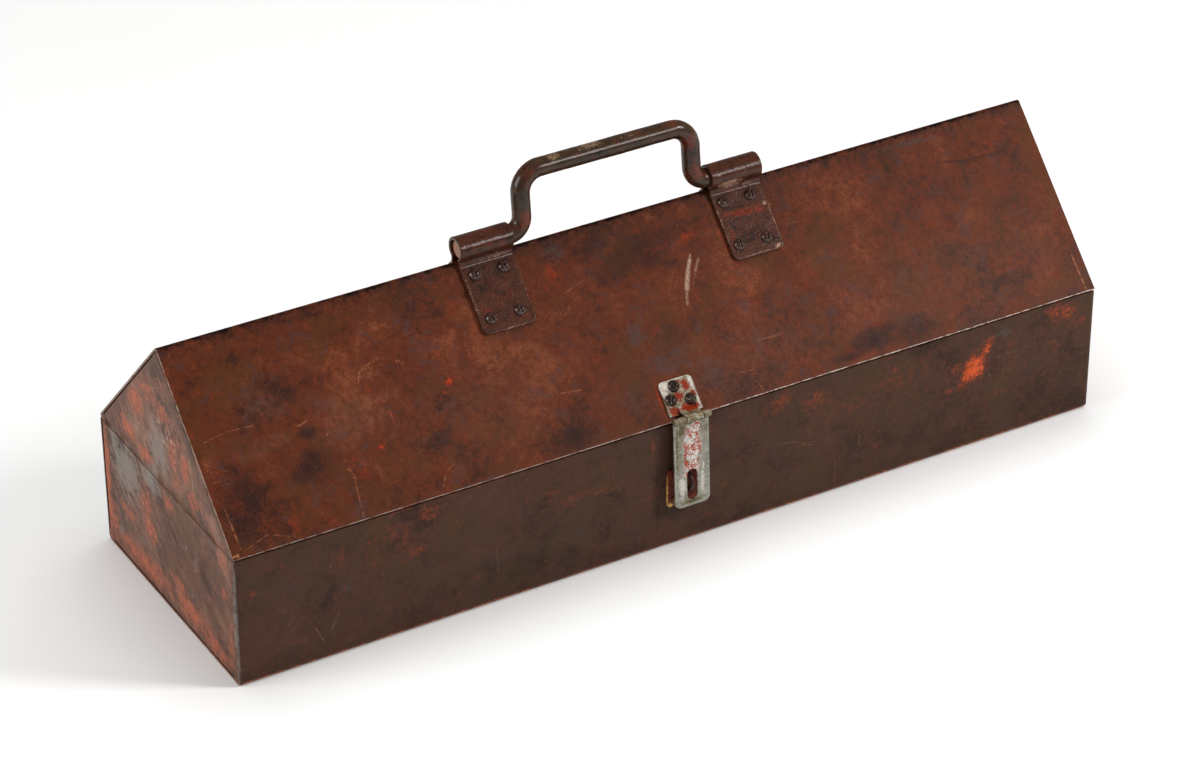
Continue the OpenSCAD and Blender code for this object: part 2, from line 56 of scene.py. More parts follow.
# ------------------------------------------------------------------ sizes (mm)
HL, HD, T = 305.0, 92.0, 1.5
EAVE, RISE = 90.5, 94.5
RIDGE = EAVE + RISE
SA = math.atan2(RISE, HD)
CS, SN = math.cos(SA), math.sin(SA)
SLEN = math.hypot(HD, RISE)
RIM = EAVE - 2.5
HASP_Y, HASP_Z, HASP_LEAN = -(HD + 6), EAVE + 2.2, math.radians(3.1)
PIVOT = RIDGE + 7.4
LEAN = math.radians(5.7)


def lin(r, g, b):
    """Linear colour of an 0-255 display colour."""
    return tuple((c / 255 / 12.92) if c / 255 <= 0.04045 else ((c / 255 + 0.055) / 1.055) ** 2.4 for c in (r, g, b))


# ------------------------------------------------------------ material building
class Tree:
    """A material's node tree, with the node kinds used here as short calls."""

    def __init__(self, name):
        self.mat = bpy.data.materials.new(name)
        self.mat.use_nodes = True
        self.t = self.mat.node_tree
        self.t.nodes.clear()
        self.col = 0
        self.coord = self.node("ShaderNodeTexCoord").outputs["Object"]
        self.p = self.vec("SCALE", self.coord, scale=1000.0)  # position in mm
        self.shared = {}

    def node(self, kind, **props):
        n = self.t.nodes.new(kind)
        n.location = (180 * (self.col % 40), -220 * (self.col // 40))
        self.col += 1
        for k, v in props.items():
            setattr(n, k, v)
        return n

    def put(self, socket, value):
        if isinstance(value, bpy.types.NodeSocket):
            self.t.links.new(value, socket)
        elif value is not None:
            if isinstance(value, (tuple, list)) and len(value) == 3 and socket.type == "RGBA":
                value = (*value, 1.0)
            socket.default_value = value

    def math(self, op, a, b=None, c=None, clamp=False):
        n = self.node("ShaderNodeMath", operation=op)
        for s, v in zip(n.inputs, (a, b, c)):
            self.put(s, v)
        if clamp:  # as two nodes, which keeps a big tree within the renderer's working memory
            return self.math("MINIMUM", self.math("MAXIMUM", n.outputs[0], 0.0), 1.0)
        return n.outputs[0]

    def vec(self, op, a, b=None, scale=None):
        n = self.node("ShaderNodeVectorMath", operation=op)
        self.put(n.inputs[0], a)
        if b is not None:
            self.put(n.inputs[1], b)
        if scale is not None:
            self.put(n.inputs["Scale"], scale)
        return n.outputs["Value"] if op in ("DOT_PRODUCT", "LENGTH", "DISTANCE") else n.outputs["Vector"]

    def add(self, a, b): return self.math("ADD", a, b)
    def sub(self, a, b): return self.math("SUBTRACT", a, b)
    def mul(self, a, b): return self.math("MULTIPLY", a, b)
    def mad(self, a, b, c): return self.math("MULTIPLY_ADD", a, b, c)
    def maxi(self, a, b): return self.math("MAXIMUM", a, b)
    def mini(self, a, b): return self.math("MINIMUM", a, b)
    def inv(self, a): return self.math("SUBTRACT", 1.0, a)

    def ss(self, v, lo, hi):
        """0 below lo, 1 above hi (or the other way round when lo > hi), smooth between."""
        n = self.node("ShaderNodeMapRange", interpolation_type="SMOOTHSTEP", clamp=False)
        self.put(n.inputs["Value"], v)
        flip = lo > hi
        n.inputs["From Min"].default_value, n.inputs["From Max"].default_value = (hi, lo) if flip else (lo, hi)
        n.inputs["To Min"].default_value, n.inputs["To Max"].default_value = (1, 0) if flip else (0, 1)
        return n.outputs["Result"]

    def fit(self, v, lo, hi, a, b):
        """lo to hi becomes a to b, level outside."""
        n = self.node("ShaderNodeMapRange", interpolation_type="SMOOTHSTEP", clamp=False)
        self.put(n.inputs["Value"], v)
        for k, x in (("From Min", lo), ("From Max", hi), ("To Min", a), ("To Max", b)):
            n.inputs[k].default_value = x
        return n.outputs["Result"]

    def xyz(self, x, y, z=0.0):
        n = self.node("ShaderNodeCombineXYZ")
        for s, v in zip(n.inputs, (x, y, z)):
            self.put(s, v)
        return n.outputs[0]

    def axis(self, direction, at=(0, 0, 0)):
        """Distance in mm along a direction, from a point."""
        off = -sum(d * q for d, q in zip(direction, at))
        return self.add(self.vec("DOT_PRODUCT", self.p, tuple(direction)), off)

    def noise(self, scale, detail=3.0, rough=0.55, dist=0.0, vec=None, seed=0.0, stretch=None):
        """Noise from 0 to 1. scale is the number of features in a mm."""
        v = self.p if vec is None else vec
        if seed or stretch:
            m = self.node("ShaderNodeMapping")
            self.put(m.inputs["Vector"], v)
            m.inputs["Location"].default_value = (seed * 17.31, seed * 9.17, seed * 23.7)
            if stretch:
                m.inputs["Scale"].default_value = stretch
            v = m.outputs[0]
        n = self.node("ShaderNodeTexNoise", noise_dimensions="3D")
        self.put(n.inputs["Vector"], v)
        n.inputs["Scale"].default_value = scale
        n.inputs["Detail"].default_value = detail
        n.inputs["Roughness"].default_value = rough
        n.inputs["Distortion"].default_value = dist
        return n.outputs["Fac"]

    def mix(self, fac, a, b, mode="MIX"):
        n = self.node("ShaderNodeMix", data_type="RGBA", blend_type=mode, clamp_factor=True)
        self.put(n.inputs[0], fac)
        self.put(n.inputs[6], a)
        self.put(n.inputs[7], b)
        return n.outputs[2]

    def mixf(self, fac, a, b):
        n = self.node("ShaderNodeMix", data_type="FLOAT", clamp_factor=True)
        self.put(n.inputs[0], fac)
        self.put(n.inputs[2], a)
        self.put(n.inputs[3], b)
        return n.outputs[0]

    def ramp(self, v, stops, ease="LINEAR"):
        n = self.node("ShaderNodeValToRGB")
        r = n.color_ramp
        r.interpolation = ease
        while len(r.elements) < len(stops):
            r.elements.new(0.5)
        for e, (pos, colour) in zip(r.elements, stops):
            e.position = pos
            e.color = (*colour, 1.0)
        self.put(n.inputs[0], v)
        return n.outputs[0]

    def wobble(self, amount=1.0):
        """A shared ragged offset for outlines, about -1 to 1."""
        if "wob" not in self.shared:
            n = self.noise(0.16, 6.0, 0.72, 0.6, seed=3.0)
            self.shared["wob"] = self.fit(n, 0.25, 0.75, -1.0, 1.0)
        return self.mul(self.shared["wob"], amount)

    def layer(self, name):
        """A mask that the mesh carries, made by lay_marks()."""
        if name not in self.shared:
            n = self.node("ShaderNodeAttribute", attribute_type="GEOMETRY", attribute_name=name)
            self.shared[name] = n.outputs["Fac"]
        return self.shared[name]

    def ragged(self, name, n, swing=1.3, lo=0.40, hi=0.52):
        """A placed layer with a torn outline: the noise n (0 to 1) eats at its border."""
        return self.ss(self.mad(self.math("SUBTRACT", n, 0.5), swing, self.layer(name)), lo, hi)

    def strokes(self, uv, lines, soft=0.7):
        """Scratches along polylines: ([(u, v), ...], half width, weight)."""
        total = None
        for pts, half, weight in lines:
            half *= 0.62
            near = None
            for a, b in zip(pts, pts[1:]):
                ab = (b[0] - a[0], b[1] - a[1], 0.0)
                ll = ab[0] ** 2 + ab[1] ** 2
                pa = self.vec("SUBTRACT", uv, (a[0], a[1], 0.0))
                h = self.math("MULTIPLY", self.vec("DOT_PRODUCT", pa, ab), 1 / ll, clamp=True)
                d = self.vec("LENGTH", self.vec("SUBTRACT", pa, self.vec("SCALE", ab, scale=h)))
                near = d if near is None else self.mini(near, d)
            k = self.ss(near, half + soft * half, half * 0.4)
            if weight != 1:
                k = self.mul(k, weight)
            total = k if total is None else self.maxi(total, k)
        return total

    def ticks(self, uv, cell, length, half, seed=0.0, share=0.5, spread=180.0, lean=0.0):
        """Short random scratches, one in a share of the cells of a loose grid."""
        off = self.vec("ADD", uv, (seed * 37.7, seed * 11.3, 0.0))
        n = self.node("ShaderNodeTexVoronoi", voronoi_dimensions="2D", feature="F1")
        self.put(n.inputs["Vector"], off)
        n.inputs["Scale"].default_value = 1 / cell
        n.inputs["Randomness"].default_value = 0.8
        sep = self.node("ShaderNodeSeparateColor")
        self.put(sep.inputs[0], n.outputs["Color"])
        d = self.vec("SUBTRACT", off, n.outputs["Position"])
        ang = self.mad(sep.outputs[0], math.radians(spread), math.radians(lean - spread / 2))
        c, s = self.math("COSINE", ang), self.math("SINE", ang)
        dirv = self.xyz(c, s, 0.0)
        nrm = self.xyz(self.mul(s, -1.0), c, 0.0)
        along = self.math("ABSOLUTE", self.vec("DOT_PRODUCT", d, dirv))
        bend = self.mul(self.mul(along, along), 0.02 / max(length, 1))
        across = self.math("ABSOLUTE", self.sub(self.vec("DOT_PRODUCT", d, nrm), bend))
        own = self.mad(sep.outputs[1], length * 0.75, length * 0.25)
        a = self.ss(self.sub(along, own), 0.0, -1.2)
        b = self.ss(across, half * 1.6, half * 0.4)
        pick = self.math("LESS_THAN", sep.outputs[2], share)
        return self.mul(self.mul(a, b), pick)

    def specks(self, scale, size, share, seed=0.0, vec=None):
        """Small round dots scattered in space."""
        v = self.vec("ADD", self.p if vec is None else vec, (seed * 13.1, seed * 7.7, seed * 5.3))
        n = self.node("ShaderNodeTexVoronoi", voronoi_dimensions="3D", feature="F1")
        self.put(n.inputs["Vector"], v)
        n.inputs["Scale"].default_value = scale
        sep = self.node("ShaderNodeSeparateColor")
        self.put(sep.inputs[0], n.outputs["Color"])
        dot = self.ss(n.outputs["Distance"], size, size * 0.35)
        return self.mul(dot, self.math("LESS_THAN", sep.outputs[0], share))

    def bump(self, height, distance, normal=None, strength=1.0):
        n = self.node("ShaderNodeBump")
        n.inputs["Strength"].default_value = strength
        n.inputs["Distance"].default_value = distance
        self.put(n.inputs["Height"], height)
        if normal is not None:
            self.put(n.inputs["Normal"], normal)
        return n.outputs["Normal"]

    def finish(self, colour, rough, normal=None, metal=0.0, specular=0.5, coat=0.0, coat_rough=0.2, ior=1.5):
        b = self.node("ShaderNodeBsdfPrincipled")
        self.put(b.inputs["Base Color"], colour)
        self.put(b.inputs["Roughness"], rough)
        self.put(b.inputs["Metallic"], metal)
        b.inputs["Specular IOR Level"].default_value = specular
        b.inputs["IOR"].default_value = ior
        if coat:
            b.inputs["Coat Weight"].default_value = coat
            b.inputs["Coat Roughness"].default_value = coat_rough
        if normal is not None:
            self.put(b.inputs["Normal"], normal)
        out = self.node("ShaderNodeOutputMaterial")
        self.t.links.new(b.outputs[0], out.inputs["Surface"])
        return self.mat


# ---------------------------------------------------------------- mesh building
def shown(name, mesh, node, body):
    """A new piece that stands for a CAD node and rides on its body."""
    o = bpy.data.objects.new(name, mesh)
    bpy.context.scene.collection.objects.link(o)
    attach(o, body)
    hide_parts(node)
    return o


def smooth_shade(mesh, angle=35.0):
    mesh.polygons.foreach_set("use_smooth", [True] * len(mesh.polygons))
    mesh.set_sharp_from_angle(angle=math.radians(angle))


def voxel_copy(node, voxel, smooth=2, factor=0.5, adapt=0.0):
    """The CAD node's mesh rebuilt on a fine grid, its edges eased as if worn."""
    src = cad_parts[node]
    tmp = bpy.data.objects.new("tmp_" + node, src.data.copy())
    bpy.context.scene.collection.objects.link(tmp)
    r = tmp.modifiers.new("r", "REMESH")
    r.mode, r.voxel_size, r.use_smooth_shade, r.adaptivity = "VOXEL", voxel * MM, True, adapt * MM
    if smooth:
        s = tmp.modifiers.new("s", "SMOOTH")
        s.factor, s.iterations = factor, smooth
    dg = bpy.context.evaluated_depsgraph_get()
    mesh = bpy.data.meshes.new_from_object(tmp.evaluated_get(dg))
    old = tmp.data
    bpy.data.objects.remove(tmp)
    bpy.data.meshes.remove(old)
    mesh.materials.clear()
    return mesh


def get_co(mesh):
    co = np.empty(len(mesh.vertices) * 3, np.float64)
    mesh.vertices.foreach_get("co", co)
    return co.reshape(-1, 3) / MM


def put_co(mesh, co):
    mesh.vertices.foreach_set("co", (co * MM).astype(np.float32).ravel())
    mesh.update()


def get_normals(mesh):
    n = np.empty(len(mesh.vertices) * 3, np.float64)
    mesh.vertex_normals.foreach_get("vector", n)
    return n.reshape(-1, 3)


def hills(p, scale, seed=0.0, octaves=2):
    """Smooth noise of -1 to 1 at points in mm."""
    s = seed * 31.7
    return np.array([noise.fractal(Vector((q[0] * scale + s, q[1] * scale - s, q[2] * scale + 0.5 * s)), 1.0, 2.0, octaves) for q in p])


def crisp_copy(node, width=0.3, segments=2, angle=30.0, weld=0.002):
    """The CAD node's mesh with its flat faces merged and its sharp edges broken."""
    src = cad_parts[node].data
    bm = bmesh.new()
    bm.from_mesh(src)
    bmesh.ops.remove_doubles(bm, verts=bm.verts, dist=weld * MM)
    bmesh.ops.dissolve_limit(bm, angle_limit=math.radians(0.4), verts=bm.verts, edges=bm.edges)
    bm.normal_update()
    sharp = [e for e in bm.edges if len(e.link_faces) == 2 and e.calc_face_angle(0) > math.radians(angle)]
    bmesh.ops.bevel(bm, geom=sharp, offset=width * MM, segments=segments, profile=0.5, affect="EDGES", clamp_overlap=True)
    mesh = bpy.data.meshes.new(node)
    bm.to_mesh(mesh)
    bm.free()
    smooth_shade(mesh, 40)
    return mesh


def rounded(points, r, n=2, sharper=30.0):
    """A closed outline with its sharp corners turned into small arcs."""
    out = []
    m = len(points)
    for i in range(m):
        p, q, w = (np.array(points[k % m], float) for k in (i - 1, i, i + 1))
        u1, u2 = (p - q) / np.linalg.norm(p - q), (w - q) / np.linalg.norm(w - q)
        turn = math.acos(max(-1, min(1, float(-u1 @ u2))))
        if math.degrees(turn) < sharper:
            out.append(tuple(q))
            continue
        reach = r * math.tan(turn / 2)
        mid = (u1 + u2) / np.linalg.norm(u1 + u2)
        c = q + mid * r / math.cos(turn / 2)
        s0, s1 = q + u1 * reach - c, q + u2 * reach - c
        for k in range(n + 1):
            d = s0 * (1 - k / n) + s1 * k / n
            out.append(tuple(c + d / np.linalg.norm(d) * r))
    return out


def cut_up(points, step):
    """A closed outline with points added along its long straights, step(mid point) mm apart."""
    out = []
    m = len(points)
    for i in range(m):
        p, q = np.array(points[i]), np.array(points[(i + 1) % m])
        k = max(1, round(float(np.linalg.norm(q - p)) / step((p + q) / 2)))
        out += [tuple(p + (q - p) * j / k) for j in range(k)]
    return out


def drawn_out(name, outline, half, step, worn=0.3):
    """A folded sheet: a closed (y, z) outline drawn out along X, its end edges eased. mm."""
    o = np.array(outline)
    d = np.roll(o, -1, 0) - np.roll(o, 1, 0)
    area = 0.5 * np.sum(o[:, 0] * np.roll(o[:, 1], -1) - np.roll(o[:, 0], -1) * o[:, 1])
    nn = np.stack([d[:, 1], -d[:, 0]], 1) * (1 if area > 0 else -1)
    nn /= np.linalg.norm(nn, axis=1)[:, None]
    k = max(1, round(2 * (half - worn) / step))
    xs = [-half + worn + 2 * (half - worn) * i / k for i in range(k + 1)]
    rings = [(-half, worn), (-half + 0.3 * worn, 0.3 * worn)] + [(x, 0.0) for x in xs] + [(half - 0.3 * worn, 0.3 * worn), (half, worn)]
    co = np.concatenate([np.concatenate([np.full((len(o), 1), x), o - nn * inset], 1) for x, inset in rings])
    m = len(o)
    i = np.arange(m)
    j = (i + 1) % m
    quads = np.concatenate([np.stack([r * m + i, r * m + j, (r + 1) * m + j, (r + 1) * m + i], 1) for r in range(len(rings) - 1)])
    if area > 0:
        quads = quads[:, ::-1]
    faces = quads.tolist()
    first, last = list(range(m)), list(range((len(rings) - 1) * m, len(rings) * m))
    faces += [first, last[::-1]] if area > 0 else [first[::-1], last]
    mesh = bpy.data.meshes.new(name)
    mesh.from_pydata((co * MM).tolist(), [], faces)
    bm = bmesh.new()
    bm.from_mesh(mesh)
    bmesh.ops.recalc_face_normals(bm, faces=bm.faces)
    bm.to_mesh(mesh)
    bm.free()
    return mesh


def arc(c, r, a0, a1, n=8):
    return [(c[0] + r * math.cos(math.radians(a0 + (a1 - a0) * i / n)), c[1] + r * math.sin(math.radians(a0 + (a1 - a0) * i / n))) for i in range(n + 1)]


# ------------------------------------------------------------------- materials
OX = dict(deep=lin(39, 22, 18), dark=lin(60, 31, 21), base=lin(87, 40, 21), light=lin(118, 63, 39), grey=lin(68, 55, 52), olive=lin(78, 46, 21), plum=lin(76, 47, 42),
          glow=lin(122, 44, 18), orange=lin(176, 58, 24), pale=lin(172, 118, 80), smear=lin(42, 25, 22), chalk_and_sheen=lin(108, 70, 56))
WALL = dict(deep=lin(30, 21, 17), dark=lin(54, 36, 28), base=lin(71, 47, 36), light=lin(93, 60, 44), grey=lin(78, 71, 64), olive=lin(68, 50, 33), plum=lin(63, 43, 38),
            glow=lin(110, 54, 33), orange=lin(222, 92, 44), pale=lin(140, 106, 78), smear=lin(32, 22, 18), chalk_and_sheen=lin(92, 70, 58))
END = dict(deep=lin(46, 31, 25), dark=lin(70, 47, 38), base=lin(94, 66, 54), light=lin(142, 103, 86), grey=lin(122, 123, 117), olive=lin(92, 68, 48), plum=lin(104, 70, 60),
           glow=lin(140, 84, 66), orange=lin(196, 108, 79), pale=lin(200, 174, 156), smear=lin(56, 38, 30), chalk_and_sheen=lin(140, 110, 95))


INSIDE = dict(deep=lin(30, 21, 17), dark=lin(52, 33, 25), base=lin(80, 47, 33), light=lin(112, 78, 60), grey=lin(84, 76, 70), olive=lin(70, 50, 32), plum=lin(68, 46, 40),
              glow=lin(112, 54, 30), orange=lin(168, 78, 42), pale=lin(160, 128, 100), smear=lin(34, 24, 20), chalk_and_sheen=lin(112, 92, 78))


def surface_uv(t, kind):
    """Flat coordinates in mm on one face of the box: along, up."""
    x = t.axis((1, 0, 0))
    if kind == "roof_front":
        return x, t.axis((0, CS, SN), (0, -HD, EAVE))
    if kind == "roof_back":
        return x, t.axis((0, -CS, SN), (0, HD, EAVE))
    if kind == "wall":
        return x, t.axis((0, 0, 1))
    if kind == "floor":
        return x, t.axis((0, 1, 0))
    return t.axis((0, 1, 0)), t.axis((0, 0, 1))


def painted(name, kind, pal, seed, scratch=(), dark_lines=(), chalk_and_sheen=(), edges=(), amount=None, specular=0.35, rough=0.42, coat=0.0, mottle=1.0, here=(), brush=None):
    """Old paint over steel on one face: cloudy tone, worn patches, rust bloom, specks, scratches and worn edges; some
    placed patches and edge bands are painted light, sheen and shade.
    """
    am = dict(rust=0.5, grey=0.5, ticks=0.4, specks=0.5, fine=1.0, hue=1.0, low=0.62, soft=0.40, torn=2.6, film=0.72)
    am.update(amount or {})
    t = Tree(name)
    u, v = surface_uv(t, kind)
    uv = t.xyz(u, v)
    q = None
    if brush:  # patterns drawn out along one direction of the face
        a, pull = math.radians(brush[0]), brush[1]
        q = t.xyz(t.mul(t.vec("DOT_PRODUCT", uv, (math.cos(a), math.sin(a), 0)), 1 / pull), t.vec("DOT_PRODUCT", uv, (-math.sin(a), math.cos(a), 0)), t.axis((1, 0, 0)))
    big = t.noise(0.011, 3, 0.55, 0.4, seed=seed + 1)
    mid = t.noise(0.046, 6, 0.62, 0.6, vec=q, seed=seed + 2)
    fine = t.noise(0.24, 7, 0.70, 0.3, vec=q, seed=seed + 3)
    grain = t.noise(1.15, 4, 0.68, seed=seed + 4)
    grit = t.noise(0.62, 7, 0.80, 0.2, vec=q, seed=seed + 14)
    # one tone field from clouds, mottle and grain, pushed up or down where the paint has worn or darkened, and on the
    # roof where placed patches are painted light and shade of a shallow dent
    tone = t.mad(big, 0.85 * mottle, t.mad(mid, 0.95 * mottle, t.mad(fine, 0.75 * mottle, t.mad(grain, 0.44 * am["fine"], 0.5 - 1.275 * mottle - 0.22 * am["fine"]))))
    if "warm_and_lit" in here:
        tone = t.mad(t.layer("m_warm_and_lit"), 0.15, tone)
    if "dark" in here:
        tone = t.mad(t.layer("m_dark"), -0.17, tone)
    colour = t.ramp(tone, [(0.10, pal["deep"]), (0.34, pal["dark"]), (0.50, pal["base"]), (0.57, pal["base"]), (0.80, pal["light"])])

    # hue drifts: yellowish brown clouds, then purplish grey ones
    cloud = t.noise(0.026, 5, 0.62, 0.8, seed=seed + 5)
    haze = t.noise(0.075, 7, 0.70, 0.5, seed=seed + 6)
    om = t.mul(t.ss(cloud, 0.48, 0.66), 0.55 * am["hue"])
    if "olive" in here:
        om = t.maxi(om, t.mul(t.ss(t.mad(t.sub(fine, 0.5), 1.2, t.layer("m_olive")), 0.1, 0.8), 0.75))
    colour = t.mix(om, colour, pal["olive"])
    colour = t.mix(t.mul(t.ss(haze, 0.53, 0.66), 0.6 * am["hue"]), colour, pal["plum"])
    # grey film in torn patches
    gm = t.mul(t.ss(t.mad(t.sub(grain, 0.5), 0.35, haze), 0.60, 0.68), am["grey"])
    if "grey" in here:
        torn = t.mad(t.sub(fine, 0.5), 1.9, t.mad(t.sub(grit, 0.5), 1.3, t.layer("m_grey")))
        gm = t.maxi(gm, t.ss(torn, 0.40, 0.85))
    colour = t.mix(t.mul(gm, am["film"]), colour, pal["grey"])
    # dark specks and smudges; the placed dark layer also carries painted shade of a dent on the roof
    dk = t.mul(t.ss(t.mad(t.sub(mid, 0.5), -0.8, grit), 0.57, 0.74), 0.21)
    if "dark" in here:
        dk = t.maxi(dk, t.mul(t.ss(t.mad(t.sub(fine, 0.5), 1.2, t.mad(t.sub(grit, 0.5), 1.4, t.layer("m_dark"))), 0.45, 1.20), 0.52))
    colour = t.mix(dk, colour, pal["smear"])
    # chalky paint in placed patches, which on the roof include broad painted sheen toward the lower right
    if "chalk_and_sheen" in here:
        colour = t.mix(t.mul(t.layer("m_chalk_and_sheen"), t.fit(t.mad(t.sub(grit, 0.5), 0.6, fine), 0.36, 0.62, 0.15, 0.75)), colour, pal["chalk_and_sheen"])
    # rust and primer: a soft glow, torn bright cores
    bloom = t.ss(t.mad(t.sub(grain, 0.5), 0.40, t.noise(0.10, 8, 0.74, 0.4, seed=seed + 8)), 0.56, 0.70)
    glow = t.mul(bloom, am["rust"])
    core = t.mul(t.specks(0.15, 0.13, 0.20 * am["specks"], seed), 0.5)
    rich = t.fit(grain, 0.35, 0.60, 0.45, 1.0)
    if "orange" in here:
        rag = t.mad(t.sub(fine, 0.5), 1.3, t.mad(t.sub(grit, 0.5), am["torn"], t.layer("m_orange")))
        rich = t.mul(rich, t.fit(rag, am["low"] + 0.05, am["low"] + 0.65, 0.25, 1.0))
        glow = t.maxi(glow, t.mul(t.ss(t.mad(t.sub(fine, 0.5), 1.7, t.mad(t.sub(grit, 0.5), 0.9, t.layer("m_orange"))), 0.18, 0.85), 0.75))
        core = t.maxi(core, t.mul(t.ss(rag, am["low"], am["low"] + am["soft"]), t.ss(t.layer("m_orange"), 0.16, 0.40)))
    colour = t.mix(t.mul(glow, 0.85), colour, pal["glow"])
    colour = t.mix(t.mul(core, 0.92), colour, t.mix(rich, tuple(0.55 * a + 0.15 * b for a, b in zip(pal["glow"], pal["orange"])), pal["orange"]))
    if "light" in here:
        colour = t.mix(t.mul(t.ss(t.mad(t.sub(fine, 0.5), 1.2, t.mad(t.sub(grit, 0.5), 2.6, t.layer("m_light"))), 0.55, 0.90), 0.7), colour, pal["pale"])
    if dark_lines:
        colour = t.mix(t.mul(t.mul(t.strokes(uv, dark_lines, 1.4), t.fit(fine, 0.35, 0.55, 0.35, 1.0)), 0.75), colour, pal["deep"])
    # scratches: fine golden threads, broken up
    gap = t.ss(t.mad(t.sub(grit, 0.5), 0.7, t.noise(0.22, 3, 0.7, seed=seed + 9)), 0.42, 0.58)
    tk = t.mul(t.maxi(t.ticks(uv, 26, 11, 0.14, seed + 1, 0.4), t.maxi(t.ticks(uv, 47, 21, 0.12, seed + 2, 0.5, 60, 20), t.ticks(uv, 13, 4, 0.15, seed + 3, 0.3))), am["ticks"])
    tk = t.mul(tk, gap)
    thread = tuple(0.42 * a + 0.58 * b for a, b in zip(pal["glow"], pal["pale"]))
    colour = t.mix(t.mul(tk, 0.5), colour, thread)
    cut = tk
    if scratch:
        near = t.strokes(uv, scratch, 1.0)
        sc = t.mul(near, t.fit(gap, 0.0, 1.0, 0.08, 0.78))
        colour = t.mix(sc, colour, thread)
        cut = t.maxi(cut, sc)
    if chalk_and_sheen:
        ch = t.mul(t.strokes(uv, chalk_and_sheen, 2.2), t.fit(t.noise(0.8, 4, 0.7, seed=seed + 10, stretch=(2.2, 0.5, 0.5)), 0.34, 0.62, 0.25, 1))
        colour = t.mix(t.mul(ch, 0.8), colour, lin(186, 156, 134))
        cut = t.maxi(cut, t.mul(ch, 0.5))
    sp = t.specks(0.10, 0.045, 0.28 * am["specks"], seed + 5)
    colour = t.mix(t.mul(sp, 0.6), colour, lin(176, 146, 124))
    # edges: (distance socket maker, reach in mm, colour, weight)
    for make, reach, c, weight, *along in edges:
        d = make(t, u, v)
        m = t.mul(t.ss(t.mad(t.sub(fine, 0.5), 3.0 * reach, d), reach, reach * 0.25), weight)
        m = t.mul(m, t.fit(t.noise(0.17, 5, 0.75, seed=seed + 13), 0.40, 0.58, 0.18, 1.0))
        if along:  # weight from one to the other value between two places along the edge
            x0, x1, w0, w1 = along[0]
            m = t.mul(m, t.fit(u, x0, x1, w0, w1))
        colour = t.mix(m, colour, c)

    r = t.mad(mid, 0.22, t.mad(fine, 0.20, rough - 0.21))
    r = t.add(r, t.mul(t.maxi(gm, glow), 0.08))
    r = t.math("ADD", r, t.mul(cut, 0.1), clamp=True)
    # only the patterns go into the relief: placed marks there overrun the renderer's working memory
    h = t.mad(grain, 0.35, t.mul(fine, 0.8))
    h = t.sub(h, t.mul(bloom, 0.35))
    h = t.sub(h, t.mul(tk, 0.7))
    n = t.bump(h, 0.00008, strength=0.8)
    n = t.bump(t.noise(0.035, 2, 0.5, seed=seed + 11), 0.0012, normal=n, strength=0.35)
    return t.finish(colour, r, n, specular=specular, coat=coat)


def edge_below(limit):
    return lambda t, u, v: t.sub(v, limit)


def edge_above(limit):
    return lambda t, u, v: t.sub(limit, v)


def edge_ends(limit):
    return lambda t, u, v: t.sub(limit, t.math("ABSOLUTE", u))


